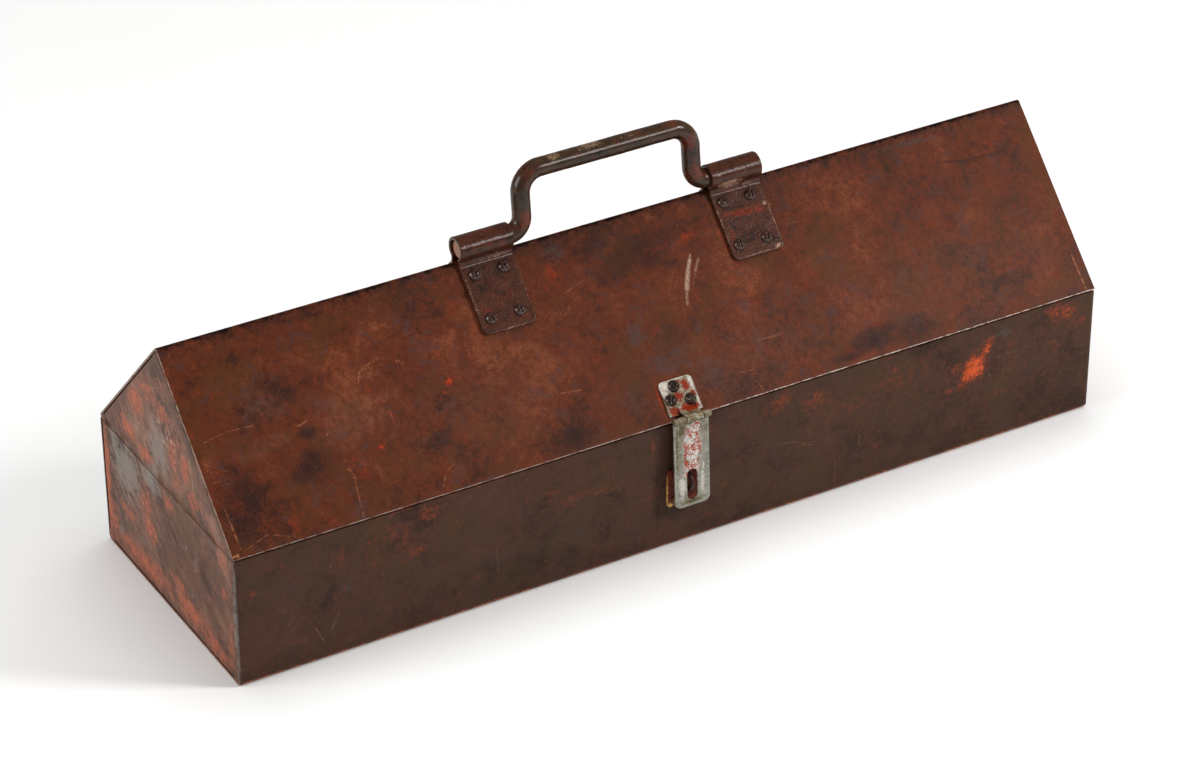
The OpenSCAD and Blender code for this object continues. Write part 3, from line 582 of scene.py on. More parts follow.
# Patches placed on each face: (along, up, half width, half height, turn in degrees, weight), mm
PLACED = {
    "roof_front": dict(
        # darker patches of paint; those round (10, 106) and (30, 108), up and left of the whitish smeared scratch, are
        # partly painted shade of a shallow dent
        dark=[(10, 106, 48, 16, 6, 1.15), (46, 101, 14, 8, 0, 0.7), (-22, 114, 24, 9, 0, 0.8), (-225, 86, 12, 7, 0, 0.7), (-287, 33, 17, 17, 20, 1.05), (-237, 38, 20, 16, -10, 1.0), (-245, 81, 22, 10, 8, 0.8), (-235, 57.5, 5, 4, 0, 1.8),
             (-158, 31, 7, 5, 30, 1.25), (-73, 8, 16, 10, 0, 1.0), (-165, 22, 9, 6, 0, 0.5), (-272, 111, 14, 8, 0, 0.5),
             (30, 108, 34, 10, 4, 0.7), (8, 50, 9, 6, 40, 0.7), (130, 82, 12, 13, 0, 0.45), (236, 36, 6, 8, 0, 0.8),
             (243, 22, 28, 3.5, -8, 0.75), (284, 96, 9, 11, 20, 0.6), (160, 7, 34, 7, 0, 0.85), (124, 12, 16, 8, 0, 0.5), (138, 11, 15, 7, 0, 2.2), (150, 15, 9, 5, 0, 1.4), (120, 5, 11, 3.5, 0, 1.4), (-45, 124, 12, 7, 0, 0.7),
             (215, 52, 14, 2.5, 0, 0.4), (298, 45, 5, 20, 0, 0.4), (-60, 110, 5, 6, 0, 0.5)],
        grey=[(-12, 58, 9, 11, 0, 0.9), (2, 36, 26, 12, 0, 0.8), (27, 22, 15, 15, 0, 0.7), (-32, 17, 18, 16, 0, 0.6), (-45, 121, 12, 9, 0, 0.8),
             (215, 124, 38, 3, -3, 0.8), (232, 118, 16, 2.5, 0, 0.5), (200, 98, 8, 4, 0, 0.5), (172, 40, 18, 12, 10, 0.45), (-222, 72, 12, 8, 0, 0.6),
             (-255, 40, 36, 24, 0, 0.35), (110, 60, 20, 16, 0, 0.3), (-26, 100, 7, 8, 0, 0.5), (255, 60, 20, 8, 0, 0.35), (-70, 20, 20, 12, 0, 0.35)],
        olive=[(-270, 100, 26, 16, 5, 0.7), (130, 82, 14, 16, 0, 0.6), (-215, 112, 26, 10, 0, 0.5), (-120, 40, 30, 16, 0, 0.35), (10, 60, 20, 14, 0, 0.5),
             (120, 14, 24, 9, 0, 0.5), (-80, 62, 16, 12, 0, 0.3)],
        orange=[(-261, 9, 6, 9, 0, 0.62), (-194, 37, 2.6, 2.6, 0, 1.2), (-190, 72, 3, 3, 0, 0.95), (-139, 63, 3.2, 2.8, 0, 1.35), (-145, 57, 2.4, 2.4, 0, 0.9),
             (-181, 53, 1.6, 6, 0, 0.7), (43, 106, 9, 4.5, 20, 0.75), (20, 104, 8, 3, 0, 0.5), (-51, 107, 7, 8, 0, 0.6), (-212, 30, 7, 12, 0, 0.5),
             (-213, 60, 9, 6, 0, 0.35), (67.4, 99, 1.6, 13, 0, 0.7), (-12.7, 15, 2.0, 12, 0, 0.9), (0, 26, 12, 2.2, 0, 0.55), (1, 58, 6, 6, 0, 0.4),
             (-290, 30, 4, 4, 0, 0.4), (255, 30, 16, 5, 0, 0.35), (-15, 64, 3, 6, 0, 0.4), (-250, 22, 5, 4, 0, 0.5), (-303, 80, 2, 14, 0, 0.6)],
        # chalky patches; the two broad faint ones at (220, 30) and (60, 24) are painted sheen, greyer and pinker toward
        # the lower right
        chalk_and_sheen=[(220, 30, 110, 40, 0, 0.36), (60, 24, 60, 26, 0, 0.30), (-130, 40, 60, 30, 0, 0.25), (-205, 58, 26, 14, 10, 0.6), (-255, 80, 16, 10, 0, 0.5), (-262, 58, 16, 5, 10, 0.5)],
        # lighter, warmer patches; the one at (118, 76), right of and below the right strap, is painted light standing
        # for a shallow dent
        warm_and_lit=[(118, 76, 24, 18, 20, 0.5), (-190, 105, 24, 12, 10, 0.6), (-200, 62, 34, 18, 0, 0.5), (-110, 72, 46, 28, -10, 0.4), (28, 104, 26, 8, 0, 0.5), (180, 96, 44, 18, 8, 0.45),
             (80, 62, 30, 18, 0, 0.4), (265, 88, 3.5, 16, -12, 0.45), (200, 66, 44, 14, 0, 0.35), (-270, 60, 22, 9, 0, 0.45), (150, 118, 20, 5, 0, 0.3)],
        light=[(-183, 84, 16, 8, 10, 0.40), (-163, 82, 8, 9, 0, 0.38), (-180, 56, 5, 10, 0, 0.40), (-217, 28, 6, 14, 0, 0.38), (-203, 30, 7, 13, 0, 0.42), (-225, 54, 10, 6, 0, 0.38), (-262, 80, 10, 6, 0, 0.34), (-160, 8, 8, 8, 0, 0.34), (-303, 1.2, 5, 1.6, 0, 0.9), (-270, 2, 26, 1.8, 0, 0.5), (50, 14, 10, 5, 0, 0.36),
             (-259, 79, 1.8, 1.6, 0, 0.75), (-224, 93, 5, 2.6, 20, 0.4), (-225, 53, 2.6, 2.4, 0, 0.6), (-217, 66, 3, 1.8, 30, 0.5), (-122, 87.2, 0.9, 0.8, 0, 1.0),
             (36, 91, 5, 2.2, 60, 0.35), (49, 15.5, 4, 1.0, 0, 0.5), (107, 111, 3.2, 1.2, -30, 0.8), (104, 115, 1.4, 1.0, 0, 0.8), (111, 113.4, 1.2, 0.7, 0, 0.7),
             (-163, 84, 4, 6, 0, 0.25), (300, 12, 3.5, 12, 0, 0.3)],
    ),
    "roof_back": dict(
        dark=[(-120, 40, 40, 16, 10, 0.6), (220, 100, 26, 12, 0, 0.7), (60, 24, 30, 9, 0, 0.6), (-250, 96, 20, 14, 0, 0.6), (0, 122, 50, 5, 0, 0.6), (-190, 12, 44, 8, 0, 0.6), (190, 12, 44, 8, 0, 0.6),
              (100, 112, 16, 10, 0, 0.6), (-90, 108, 22, 12, 0, 0.5), (282, 30, 12, 16, 0, 0.7)],
        grey=[(30, 70, 34, 16, 0, 0.5), (-200, 50, 30, 18, 0, 0.5), (260, 40, 22, 14, 0, 0.5), (-20, 20, 20, 10, 0, 0.6), (150, 60, 14, 18, 0, 0.5)],
        olive=[(-60, 90, 40, 20, 0, 0.5), (200, 50, 40, 20, 0, 0.4), (-270, 60, 20, 24, 0, 0.5)],
        orange=[(140, 80, 12, 8, 0, 0.66), (-60, 100, 9, 5, 0, 0.62), (-290, 30, 7, 13, 0, 0.66), (-190, 6, 44, 4, 0, 0.62), (190, 6, 44, 4, 0, 0.62), (30, 40, 5, 4, 0, 0.8), (252, 112, 9, 5, 0, 0.6), (-150, 66, 4, 4, 0, 0.8)],
        warm_and_lit=[(100, 60, 60, 26, 0, 0.45), (-150, 80, 50, 20, 0, 0.45), (-20, 60, 30, 14, 0, 0.4), (240, 70, 30, 20, 0, 0.4)],
        light=[(-210, 88, 14, 6, 20, 0.42), (60, 96, 10, 8, 0, 0.40), (180, 30, 16, 6, -10, 0.42), (0, 3, 60, 1.6, 0, 0.5)],
    ),
    "wall_front": dict(
        dark=[(-160, 20, 60, 14, 0, 0.3), (150, 18, 70, 12, 0, 0.3), (-21, 45, 3, 30, 0, 0.6), (240, 22, 30, 12, 0, 0.35)],
        grey=[(235, 78, 9, 5, 0, 0.8), (-260, 30, 26, 22, 0, 0.3), (280, 60, 18, 12, 0, 0.3), (-130, 32, 6, 12, 0, 0.35)],
        olive=[(-90, 62, 34, 14, 0, 0.35), (60, 60, 40, 18, 0, 0.3), (-240, 66, 16, 12, 0, 0.4)],
        orange=[(-178, 80, 12, 9, 0, 0.64), (-186, 57, 9, 6, 0, 0.62), (-214, 57, 8, 5, 0, 0.58), (-200, 74, 22, 15, 0, 0.46), (-193, 64, 18, 10, 0, 0.42),
                (-238, 68, 9, 11, 0, 0.42), (-235, 46.5, 2.4, 2.0, 0, 0.8), (-239, 42, 4, 8, 0, 0.45), (-295, 61, 8, 6, 0, 0.5), (-278, 75, 8, 6, 0, 0.4),
                (-80, 57, 12, 8, 0, 0.5), (-60, 58, 16, 8, 0, 0.45), (-95, 66, 8, 5, 0, 0.5), (-24, 76, 4, 12, 0, 0.5), (-22, 42, 2.5, 7, 0, 0.45),
                (67, 79, 12, 9, 20, 0.62), (93, 73, 13, 10, 0, 0.60), (122, 59, 12, 5, 0, 0.55), (150, 70, 28, 14, 0, 0.44), (184, 70, 16, 10, 0, 0.38),
                (172, 72, 40, 16, 0, 0.36), (213, 59, 13, 11, 28, 1.2), (222, 70, 6, 10.5, -28, 0.95), (206, 50, 9, 9, 0, 0.68), (194, 47, 5, 7, 0, 0.5), (203, 61, 16, 7, 0, 0.62), (213, 58, 24, 20, 0, 0.40),
                (281, 79, 21, 10, -20, 0.68), (275, 82, 9, 5, 0, 0.78), (297, 70, 6, 8, -40, 0.55), (241, 70, 13, 10, 0, 0.42), (265, 36, 3.5, 2.5, 0, 0.5), (277, 57, 11, 9, 0, 0.42),
                (233, 34, 14, 7, 0, 0.40), (29, 11, 1.8, 1.6, 0, 0.7), (29, 33, 7, 4, 0, 0.4), (17, 77, 5, 5, 0, 0.42), (-140, 88, 40, 3, 0, 0.42), (-200, 88, 20, 2.5, 0, 0.55),
                (236, 42, 80, 44, 0, 0.28), (150, 62, 70, 34, 0, 0.27), (270, 66, 44, 24, 0, 0.31), (-80, 66, 60, 22, 0, 0.23), (-210, 66, 70, 30, 0, 0.25), (60, 78, 40, 14, 0, 0.25)],
    ),
    "wall_back": dict(
        dark=[(-60, 40, 60, 20, 0, 0.5), (150, 18, 70, 12, 0, 0.5), (-190, 78, 44, 8, 0, 0.6), (190, 78, 44, 8, 0, 0.6), (20, 84, 40, 6, 0, 0.5)],
        grey=[(0, 50, 30, 14, 0, 0.5), (-260, 50, 14, 24, 0, 0.6), (240, 46, 24, 12, 0, 0.5)],
        olive=[(70, 34, 50, 18, 0, 0.5), (-140, 20, 40, 12, 0, 0.5)],
        orange=[(-190, 62, 40, 5, 0, 0.60), (190, 62, 40, 5, 0, 0.60), (80, 66, 12, 9, 0, 0.72), (-100, 20, 10, 6, 0, 0.64), (270, 30, 15, 13, 0, 0.66), (-286, 70, 9, 12, 0, 0.62),
                (-30, 80, 26, 5, 0, 0.5), (120, 12, 30, 6, 0, 0.5), (0, 50, 120, 34, 0, 0.26), (-200, 30, 80, 26, 0, 0.28), (220, 50, 70, 34, 0, 0.30)],
    ),
    "underside": dict(
        orange=[(-200, 0, 60, 20, 10, 0.9), (120, 30, 70, 16, -8, 0.9), (30, -50, 40, 14, 0, 0.8), (250, -20, 30, 40, 0, 0.8)],
    ),
    "inside": dict(
    ),
    "end_left": dict(
        dark=[(60, 31, 8, 6, 0, 0.8), (80, 30, 4, 9, 0, 0.8), (-35, 50, 50, 34, 0, 0.55), (28, 42, 3, 5, 0, 0.8), (50, 126, 10, 6, -40, 0.7), (-15, 108, 6, 9, 0, 0.6),
              (80, 102, 10, 4, -45, 0.7), (22, 112, 5, 4, 0, 0.5), (-4, 128, 5, 3, 0, 0.4)],
        grey=[(58, 70, 30, 25, 0, 0.95), (22, 82, 19, 13, 0, 0.88), (70, 18, 9.2, 9.2, 30, 0.77), (-91, 45, 3.4, 57.5, 0, 1.02), (6, 114, 18, 27, 0, 0.92),
                (48, 106, 16, 13, 0, 0.65), (14, 96, 13, 8, 0, 0.8), (-6, 68, 9.2, 6.9, 0, 0.34), (62, 48, 18.4, 11.5, 0, 0.59), (-60, 112, 16.1, 11.5, -40, 0.42),
                (16, 132, 11.5, 6.9, 0, 0.42)],
        olive=[(-30, 72, 40, 10, 0, 0.5), (40, 102, 18, 6, 0, 0.5), (-52, 118, 14, 12, 0, 0.4), (0, 88, 90, 5, 0, 0.6), (30, 44, 24, 14, 0, 0.4)],
        orange=[(0, 132, 76, 42, 0, 0.36), (30, 60, 60, 40, 0, 0.3), (34, 130, 12.6, 14.9, 20, 0.81), (50, 103, 19.5, 11.5, 10, 0.77), (26, 98, 14.9, 8, 0, 0.81), (-3, 141, 13.8, 9.2, 0, 0.72),
                (-15, 117, 10.3, 16.1, 0, 0.72), (-31, 118, 10.3, 14.9, 10, 0.77), (-38, 100, 10.3, 9.2, 0, 0.72), (17, 148, 18.4, 13.8, 0, 0.61),
                (-18, 100, 9.2, 8, 0, 0.63), (-22, 130, 11.5, 9.2, 0, 0.6), (-52, 100, 16.1, 6.9, 0, 0.51), (-62, 94, 20.7, 4.6, 0, 0.43),
                (0, 160, 13.8, 10.3, 0, 0.43), (64, 96, 13.8, 4.6, 0, 0.51), (-4, 78, 8, 6.9, 0, 0.72), (30, 60, 13.8, 23, 15, 0.63), (27, 43, 12.6, 12.6, 0, 0.77),
                (58, 38, 18.4, 8, 0, 0.68), (46, 44, 10.3, 10.3, 0, 0.43), (38, 13, 64.4, 11.5, 0, 0.73), (-28, 15, 32.2, 10.3, 0, 0.81), (-12, 25, 13.8, 8, 0, 0.72),
                (-60, 10, 27.6, 9.2, 0, 0.77), (88, 45, 9.2, 55.2, 0, 0.89), (80, 20, 11.5, 16.1, 0, 0.68), (-77, 80, 6.9, 9.2, 0, 0.72), (-77, 57, 6.9, 6.9, 0, 0.72),
                (-82, 25, 9.2, 23, 0, 0.55), (-40, 50, 13.8, 6.9, 40, 0.43), (-54, 40, 11.5, 5.8, 0, 0.43), (-42, 62, 11.5, 5.8, 0, 0.39),
                (-20, 40, 16.1, 9.2, 30, 0.29)],
        light=[(-6, 128, 46, 34, 0, 0.42), (30, 106, 30, 14, 0, 0.40), (40, 60, 40, 30, 0, 0.34), (9, 9.6, 22, 1.3, 2, 0.6), (60, 97, 8, 2, 8, 0.5), (-8, 71, 5, 2.5, 0, 0.4)],
        chalk_and_sheen=[(0, 120, 60, 40, 0, 0.7), (50, 50, 50, 44, 0, 0.6), (-70, 100, 30, 8, 0, 0.5)],
    ),
    "end_right": dict(
        dark=[(0, 50, 40, 20, 0, 0.5), (-70, 20, 14, 10, 0, 0.6), (40, 100, 14, 8, 30, 0.6), (-20, 150, 12, 12, 0, 0.5)],
        grey=[(-50, 64, 25, 18, 0, 0.8), (20, 120, 18, 20, 0, 0.75), (60, 30, 14, 12, 0, 0.6), (-10, 90, 24, 5, 0, 0.5)],
        olive=[(10, 74, 44, 10, 0, 0.5), (-40, 110, 18, 10, 0, 0.5)],
        orange=[(0, 132, 76, 42, 0, 0.36), (0, 50, 80, 44, 0, 0.32), (-30, 128, 14, 12, 20, 0.85), (-12, 108, 16, 8, 0, 0.8), (30, 142, 12, 10, 0, 0.75), (10, 12, 70, 9, 0, 0.85), (40, 60, 16, 14, 0, 0.8),
                (-24, 40, 14, 9, 30, 0.7), (-86, 45, 6, 44, 0, 0.8), (86, 45, 6, 44, 0, 0.8), (62, 100, 16, 6, 0, 0.7), (-66, 96, 14, 5, 0, 0.7), (4, 164, 10, 8, 0, 0.7)],
        chalk_and_sheen=[(0, 120, 60, 40, 0, 0.6), (-40, 50, 50, 44, 0, 0.5)],
        light=[(6, 128, 46, 34, 0, 0.40), (-40, 60, 40, 30, 0, 0.36)],
    ),
    "strap_left_leaf": dict(
        rust=[(-88, 104, 12, 8, 0, 0.32), (-100, 96, 5, 5, 0, 0.5), (-80, 88, 10, 4, 0, 0.4), (-92, 134, 14, 3, 0, 0.3)],
        # pale marks: the leaf edges, rubbed and partly painted highlight, and a painted highlight on the bend below the
        # knuckle at (-82, 128)
        wear=[(-82, 128, 10, 2.0, 0, 0.55), (-88, 82.6, 18, 0.9, 0, 0.45), (-70.2, 100, 1.0, 18, 0, 0.6), (-106.3, 108, 0.8, 22, 0, 0.5)],
        # darker patina in patches; the four rings at the screw heads are painted shade
        dark=[(-99.6, 120.2, 4.6, 4.6, 0, 1.2), (-79.8, 120.2, 4.6, 4.6, 0, 1.2), (-99.6, 91.8, 4.6, 4.6, 0, 1.2), (-79.8, 91.8, 4.6, 4.6, 0, 1.2), (-98, 112, 7, 9, 0, 0.6), (-76, 110, 5, 8, 0, 0.5), (-90, 92, 8, 4, 0, 0.4)],
    ),
    "strap_right_leaf": dict(
        rust=[(86, 110.6, 14, 3.0, -4, 0.95), (77, 112, 6, 2.5, 0, 0.85), (98, 110, 6, 3, 0, 0.9), (74, 100, 2, 8, 0, 0.6), (80, 127, 8, 2, 0, 0.6), (96, 98, 5, 4, 0, 0.35)],
        # pale marks: the leaf edges, rubbed and partly painted highlight, painted highlights on the bend below the
        # knuckle at (82, 129.5) and (96, 127.5), and rubbed spots at (102, 112.5)
        wear=[(82, 129.5, 10, 1.5, 0, 0.95), (96, 127.5, 5, 1.2, 0, 0.7), (102, 112.5, 2.5, 1.8, 20, 0.8), (105.2, 100, 0.9, 18, 0, 0.7), (88, 83.3, 18, 0.9, 0, 0.5), (69.6, 108, 0.8, 22, 0, 0.5), (101, 84.5, 4, 1.4, 20, 0.7)],
        # darker patina in patches; the four rings at the screw heads are painted shade
        dark=[(75.5, 120.2, 4.6, 4.6, 0, 1.2), (95.3, 120.2, 4.6, 4.6, 0, 1.2), (75.5, 91.8, 4.6, 4.6, 0, 1.2), (95.3, 91.8, 4.6, 4.6, 0, 1.2), (88, 97, 12, 6, 0, 0.6), (76, 104, 5, 5, 0, 0.5), (98, 120, 6, 5, 0, 0.5)],
    ),
    "rod": dict(
        rust=[(-60, 201, 9, 8, 0, 0.8), (58, 201, 9, 8, 0, 0.8), (54, 222, 8, 9, 0, 0.7), (-56, 232, 7, 6, 0, 0.5), (20, 236, 16, 2, 0, 0.4), (44, 236, 8, 4, 0, 0.5)],
        # the pale line along the top of the grip is a painted highlight
        wear=[(-10, 236.4, 14, 1.5, 0, 0.65), (14, 236, 8, 1.4, 0, 0.5), (-38, 236, 10, 1.4, 0, 0.6), (36, 236.5, 6, 1.4, 0, 0.4)],
        ends=[(-106.2, 192, 1.2, 9, 0, 1.6), (104.0, 192, 1.2, 9, 0, 1.6)],
        dark=[(-20, 231, 20, 2, 0, 0.5), (-61, 214, 4, 9, 0, 0.5), (60, 214, 4, 9, 0, 0.5)],
    ),
    "staple_plate": dict(
        rust=[(0, 40, 12, 16, 0, 0.8)],
        wear=[(0, 28.6, 14, 1.4, 0, 0.9), (-14.4, 40, 1.0, 18, 0, 0.8), (-12.5, 30.5, 3.0, 2.6, 0, 1.0)],
        dark=[(-2, 44, 8, 12, 0, 0.5), (0, 56, 12, 4, 0, 0.8)],
    ),
    "hasp_plate": dict(
        red=[(6, 18.5, 4.5, 5, 0, 1.1), (-1, 13, 5.5, 4, 0, 1.15), (4, 5.0, 8, 4, 0, 1.35), (-7, 5.0, 5, 4, 0, 1.25), (9, 12, 3, 5, 0, 1.0), (2, 21.5, 3.5, 3, 0, 0.8), (-9.5, 12, 1.6, 5, 0, 0.8)],
        white=[(-8, 20, 5, 6, 0, 1.25), (10.4, 19, 2, 7, 0, 1.2), (10.8, 9, 1.6, 8, 0, 0.9), (2, 24.8, 9, 2, 0, 1.0), (-9, 11, 2, 4, 0, 0.7)],
        brass=[(0, -2.5, 16, 4, 0, 1.4), (-9, 4, 5, 5, 0, 0.6), (8, 23, 6, 4, 0, 0.5), (0, 9, 5, 7, 0, 0.6), (-11, 12, 2, 12, 0, 0.8), (-8, 24, 4, 3, 0, 0.5)],
        shade=[(-4.5, 16.4, 4.6, 4.6, 0, 0.9), (-4.5, 8.6, 4.6, 4.6, 0, 0.7), (5.2, 9.4, 4.6, 4.6, 0, 0.7), (-11.6, 14, 1.0, 14, 0, 1.0), (0, 26.6, 12, 0.8, 0, 0.8), (11.8, 14, 0.7, 14, 0, 0.8), (0, 1.0, 12, 1.6, 0, 1.0)],
    ),
    "hasp_strap": dict(
        crackle=[(0.5, -20, 6.6, 16, 0, 1.3), (0, -36, 6.4, 6, 0, 1.1), (3, -6, 3.8, 4, 0, 1.0)],
        red=[(3, -5, 3, 3.2, 0, 0.85), (4, -13, 1.8, 5, 0, 0.85), (-4.4, -21, 1.6, 5, 0, 0.8), (-1, -24, 6, 1.2, 0, 0.7), (-3.4, -31, 2.6, 3.6, 0, 0.95), (4.2, -31, 1.8, 3, 0, 0.8), (-1, -14, 2.4, 2, 0, 0.75), (-4.8, -27, 1.4, 5, 0, 0.85), (5.2, -24, 1.3, 5, 0, 0.8), (-5.2, -18, 1.3, 3, 0, 0.8)],
        white=[(0, -17, 5, 5, 0, 0.9), (0.5, -28, 4, 5, 0, 1.2), (-7.2, -47, 2.8, 9, 0, 1.05), (7.2, -46, 1.7, 10, 0, 1.0), (7.8, -36, 1.4, 5, 0, 0.85), (-5, -39, 1.6, 3, 0, 0.8), (-3, -9, 4, 3, 0, 0.7)],
        brass=[(0, 1, 16, 4.5, 0, 1.4), (0, -8, 13, 9, 0, 0.85), (-9, -22, 3.5, 26, 0, 0.6), (0, -57, 12, 3, 0, 0.7), (9.5, -10, 2.5, 14, 0, 0.6)],
        shade=[(-10.4, -20, 1.2, 30, 0, 1.0), (0, -58.6, 10, 1.6, 0, 1.2), (0, -1, 12, 5, 0, 1.1), (-7, -8, 4, 6, 0, 0.95), (10.6, -12, 1.0, 12, 0, 0.6), (-9.6, -50, 1.4, 9, 0, 0.6), (-6, -40, 1.5, 4, 0, 0.5)],
    ),
}

PINK = lin(186, 158, 146)
STEEL = lin(150, 142, 136)

roof_front = painted(
    "roof_front_paint", "roof_front", OX, 1.0, here=PLACED["roof_front"],
    chalk_and_sheen=[([(42, 94.8), (39.2, 90)], 0.45, 0.75), ([(40.4, 91.8), (37.4, 87), (34.8, 82)], 0.9, 1.0), ([(36.6, 85.5), (33.6, 79.5), (31.4, 75)], 1.15, 1.0), ([(32.4, 77), (29.2, 70), (28, 66)], 0.7, 0.55),
           ([(46.3, 91), (41.5, 84.5)], 0.6, 0.45), ([(41.5, 84.5), (36, 75.5)], 0.4, 0.16)],
    scratch=[([(-297, 70), (-282, 72.5), (-265, 71.4)], 0.45, 0.6), ([(-242, 65.6), (-238, 63.4), (-233, 65)], 0.7, 0.65),
             ([(-219, 37.5), (-217, 26), (-218.5, 14), (-220, 1)], 0.4, 0.7), ([(-194, 77), (-191.5, 83), (-187, 86), (-180, 87.3)], 0.5, 0.9),
             ([(-190, 84), (-184, 85)], 0.6, 0.6), ([(-166, 4), (-161, 12), (-155, 14.5)], 0.45, 0.75), ([(-73, 36.2), (-60, 34.6)], 0.6, 0.6),
             ([(-52.5, 81), (-49, 83), (-47, 86)], 0.4, 0.6), ([(-47, 94), (-30, 99), (-12, 104)], 0.22, 0.45), ([(65, 31.6), (81, 31)], 0.7, 0.5),
             ([(53, 9.5), (55.6, 1)], 0.4, 0.7), ([(44, 16), (55, 15)], 0.35, 0.6), ([(112, 96), (132, 95.3)], 0.25, 0.8),
             ([(-299, 29), (-298.4, 4)], 0.6, 0.95), ([(298, 24), (298.8, 1)], 0.7, 0.95), ([(-120, 0), (-104, 13), (-88, 27)], 0.3, 0.35),
             ([(-110, 0), (-96, 10), (-80, 18)], 0.25, 0.3), ([(-302, 58), (-290, 50)], 0.3, 0.5), ([(-296, 3), (-280, 8), (-262, 1)], 0.4, 0.6),
             ([(-181, 60), (-181.5, 48)], 0.5, 0.5), ([(-300, 46), (-291, 45.5)], 0.3, 0.5), ([(-243, 116), (-262, 96)], 0.2, 0.3)],
    dark_lines=[([(235, 106), (250, 102.8), (272, 101.6), (280, 102)], 0.8, 0.8), ([(-267.5, 37), (-272, 33), (-275, 25)], 1.2, 0.8),
                ([(63.8, 116), (63.4, 99)], 0.35, 0.7), ([(-213, 124), (-190, 125)], 0.3, 0.4)],
    # the three bands along the ridge, darkening towards it and black at the fold, are painted shade where the sheet
    # bends over
    edges=[(edge_above(131.0), 34.0, lin(52, 26, 17), 0.24), (edge_above(131.0), 9.0, lin(44, 24, 18), 0.55), (edge_above(131.2), 3.2, lin(14, 9, 8), 1.0), (edge_below(-0.66), 0.30, lin(210, 188, 178), 0.85, (-120, 60, 0.45, 1.0)),
           (edge_ends(304.9), 0.35, lin(150, 128, 116), 0.85)],
    amount=dict(fine=1.5), specular=0.07, rough=0.44, mottle=0.86)

roof_back = painted(
    "roof_back_paint", "roof_back", OX, 7.0, here=PLACED["roof_back"],
    scratch=[([(-40, 60), (10, 84)], 0.3, 0.5), ([(150, 40), (172, 30)], 0.4, 0.6), ([(-240, 70), (-228, 88)], 0.3, 0.6)],
    # the dark band along the ridge is painted shade where the sheet bends over it
    edges=[(edge_above(131.6), 2.4, lin(30, 21, 19), 0.85), (edge_below(0.7), 0.5, STEEL, 0.6), (edge_ends(304.9), 0.35, lin(150, 128, 116), 0.85)],
    specular=0.08, rough=0.44)

wall_front = painted(
    "wall_front_paint", "wall", WALL, 3.0, here=PLACED["wall_front"], mottle=0.7,
    scratch=[([(-255, 25), (-252, 19), (-249.5, 13)], 0.5, 0.8), ([(-239, 30), (-244, 21)], 0.7, 0.6), ([(-132.5, 40), (-132, 22)], 0.5, 0.35),
             ([(65, 49.5), (78, 47), (91, 40.5)], 0.9, 0.4), ([(84, 44), (97, 42)], 0.5, 0.35), ([(109, 33), (109.4, 7)], 0.3, 0.45),
             ([(127, 36), (128, 28)], 0.7, 0.45), ([(199.5, 25), (199.7, 19)], 0.35, 0.6), ([(-190, 20), (-140, 26)], 0.25, 0.25), ([(225, 62), (262, 61)], 0.5, 0.3)],
    edges=[(edge_below(1.6), 1.5, lin(196, 104, 62), 0.85), (edge_ends(304.7), 0.7, lin(112, 104, 100), 0.8)],
    amount=dict(rust=0.45, grey=0.3, ticks=0.25, specks=0.8), specular=0.10, rough=0.48)

wall_back = painted(
    "wall_back_paint", "wall", WALL, 11.0, here=PLACED["wall_back"], mottle=0.9,
    scratch=[([(-30, 30), (14, 44)], 0.35, 0.5), ([(120, 70), (124, 30)], 0.3, 0.5)],
    edges=[(edge_below(1.6), 1.5, lin(196, 104, 62), 0.85), (edge_ends(304.7), 0.8, lin(120, 102, 92), 0.7)],
    amount=dict(rust=0.6, grey=0.4, ticks=0.4, specks=0.8), specular=0.10, rough=0.48)

underside = painted(
    "underside_paint", "floor", WALL, 15.0, here=PLACED["underside"],
    scratch=[([(-260, -40), (-160, -30)], 0.5, 0.8), ([(-60, 20), (60, 34)], 0.5, 0.8), ([(150, -60), (220, -20)], 0.5, 0.8), ([(-120, 60), (-90, -40)], 0.4, 0.7)],
    amount=dict(rust=0.9, grey=0.8, ticks=0.9, specks=1.0), specular=0.15, rough=0.55)

inside = painted(
    "inside_paint", "wall", INSIDE, 19.0,
    amount=dict(rust=0.8, grey=0.9, ticks=0.6, specks=1.0), specular=0.12, rough=0.58, mottle=1.1)

end_left = painted(
    "end_left_paint", "end", END, 23.0, here=PLACED["end_left"], brush=(45, 1.9),
    scratch=[([(20, 12), (-20, 9)], 0.6, 0.5), ([(-77, 88), (-78, 70)], 0.6, 0.6), ([(30, 126), (24, 104)], 0.4, 0.4), ([(-38, 128), (-42, 106)], 0.9, 0.6),
             ([(-18, 130), (-16, 108)], 0.8, 0.5), ([(-60, 60), (-86, 38)], 0.3, 0.4), ([(10, 46), (-30, 62)], 0.25, 0.3)],
    edges=[(edge_below(1.2), 1.6, lin(150, 90, 66), 0.7), (edge_ends(91.2), 1.6, lin(112, 108, 106), 0.65)],
    amount=dict(rust=0.75, grey=0.6, ticks=0.45, specks=0.8, low=0.50, soft=0.24, torn=2.5, film=0.88), specular=0.10, rough=0.5, mottle=1.25)

end_right = painted(
    "end_right_paint", "end", END, 29.0, here=PLACED["end_right"], brush=(135, 1.9),
    scratch=[([(-10, 70), (30, 40)], 0.4, 0.6), ([(-50, 30), (-20, 18)], 0.4, 0.5)],
    edges=[(edge_below(1.2), 1.6, lin(150, 90, 66), 0.7), (edge_ends(91.2), 1.6, lin(112, 108, 106), 0.65)],
    amount=dict(rust=0.75, grey=0.6, ticks=0.45, specks=0.8, low=0.50, soft=0.24, torn=2.5, film=0.88), specular=0.10, rough=0.5, mottle=1.25)


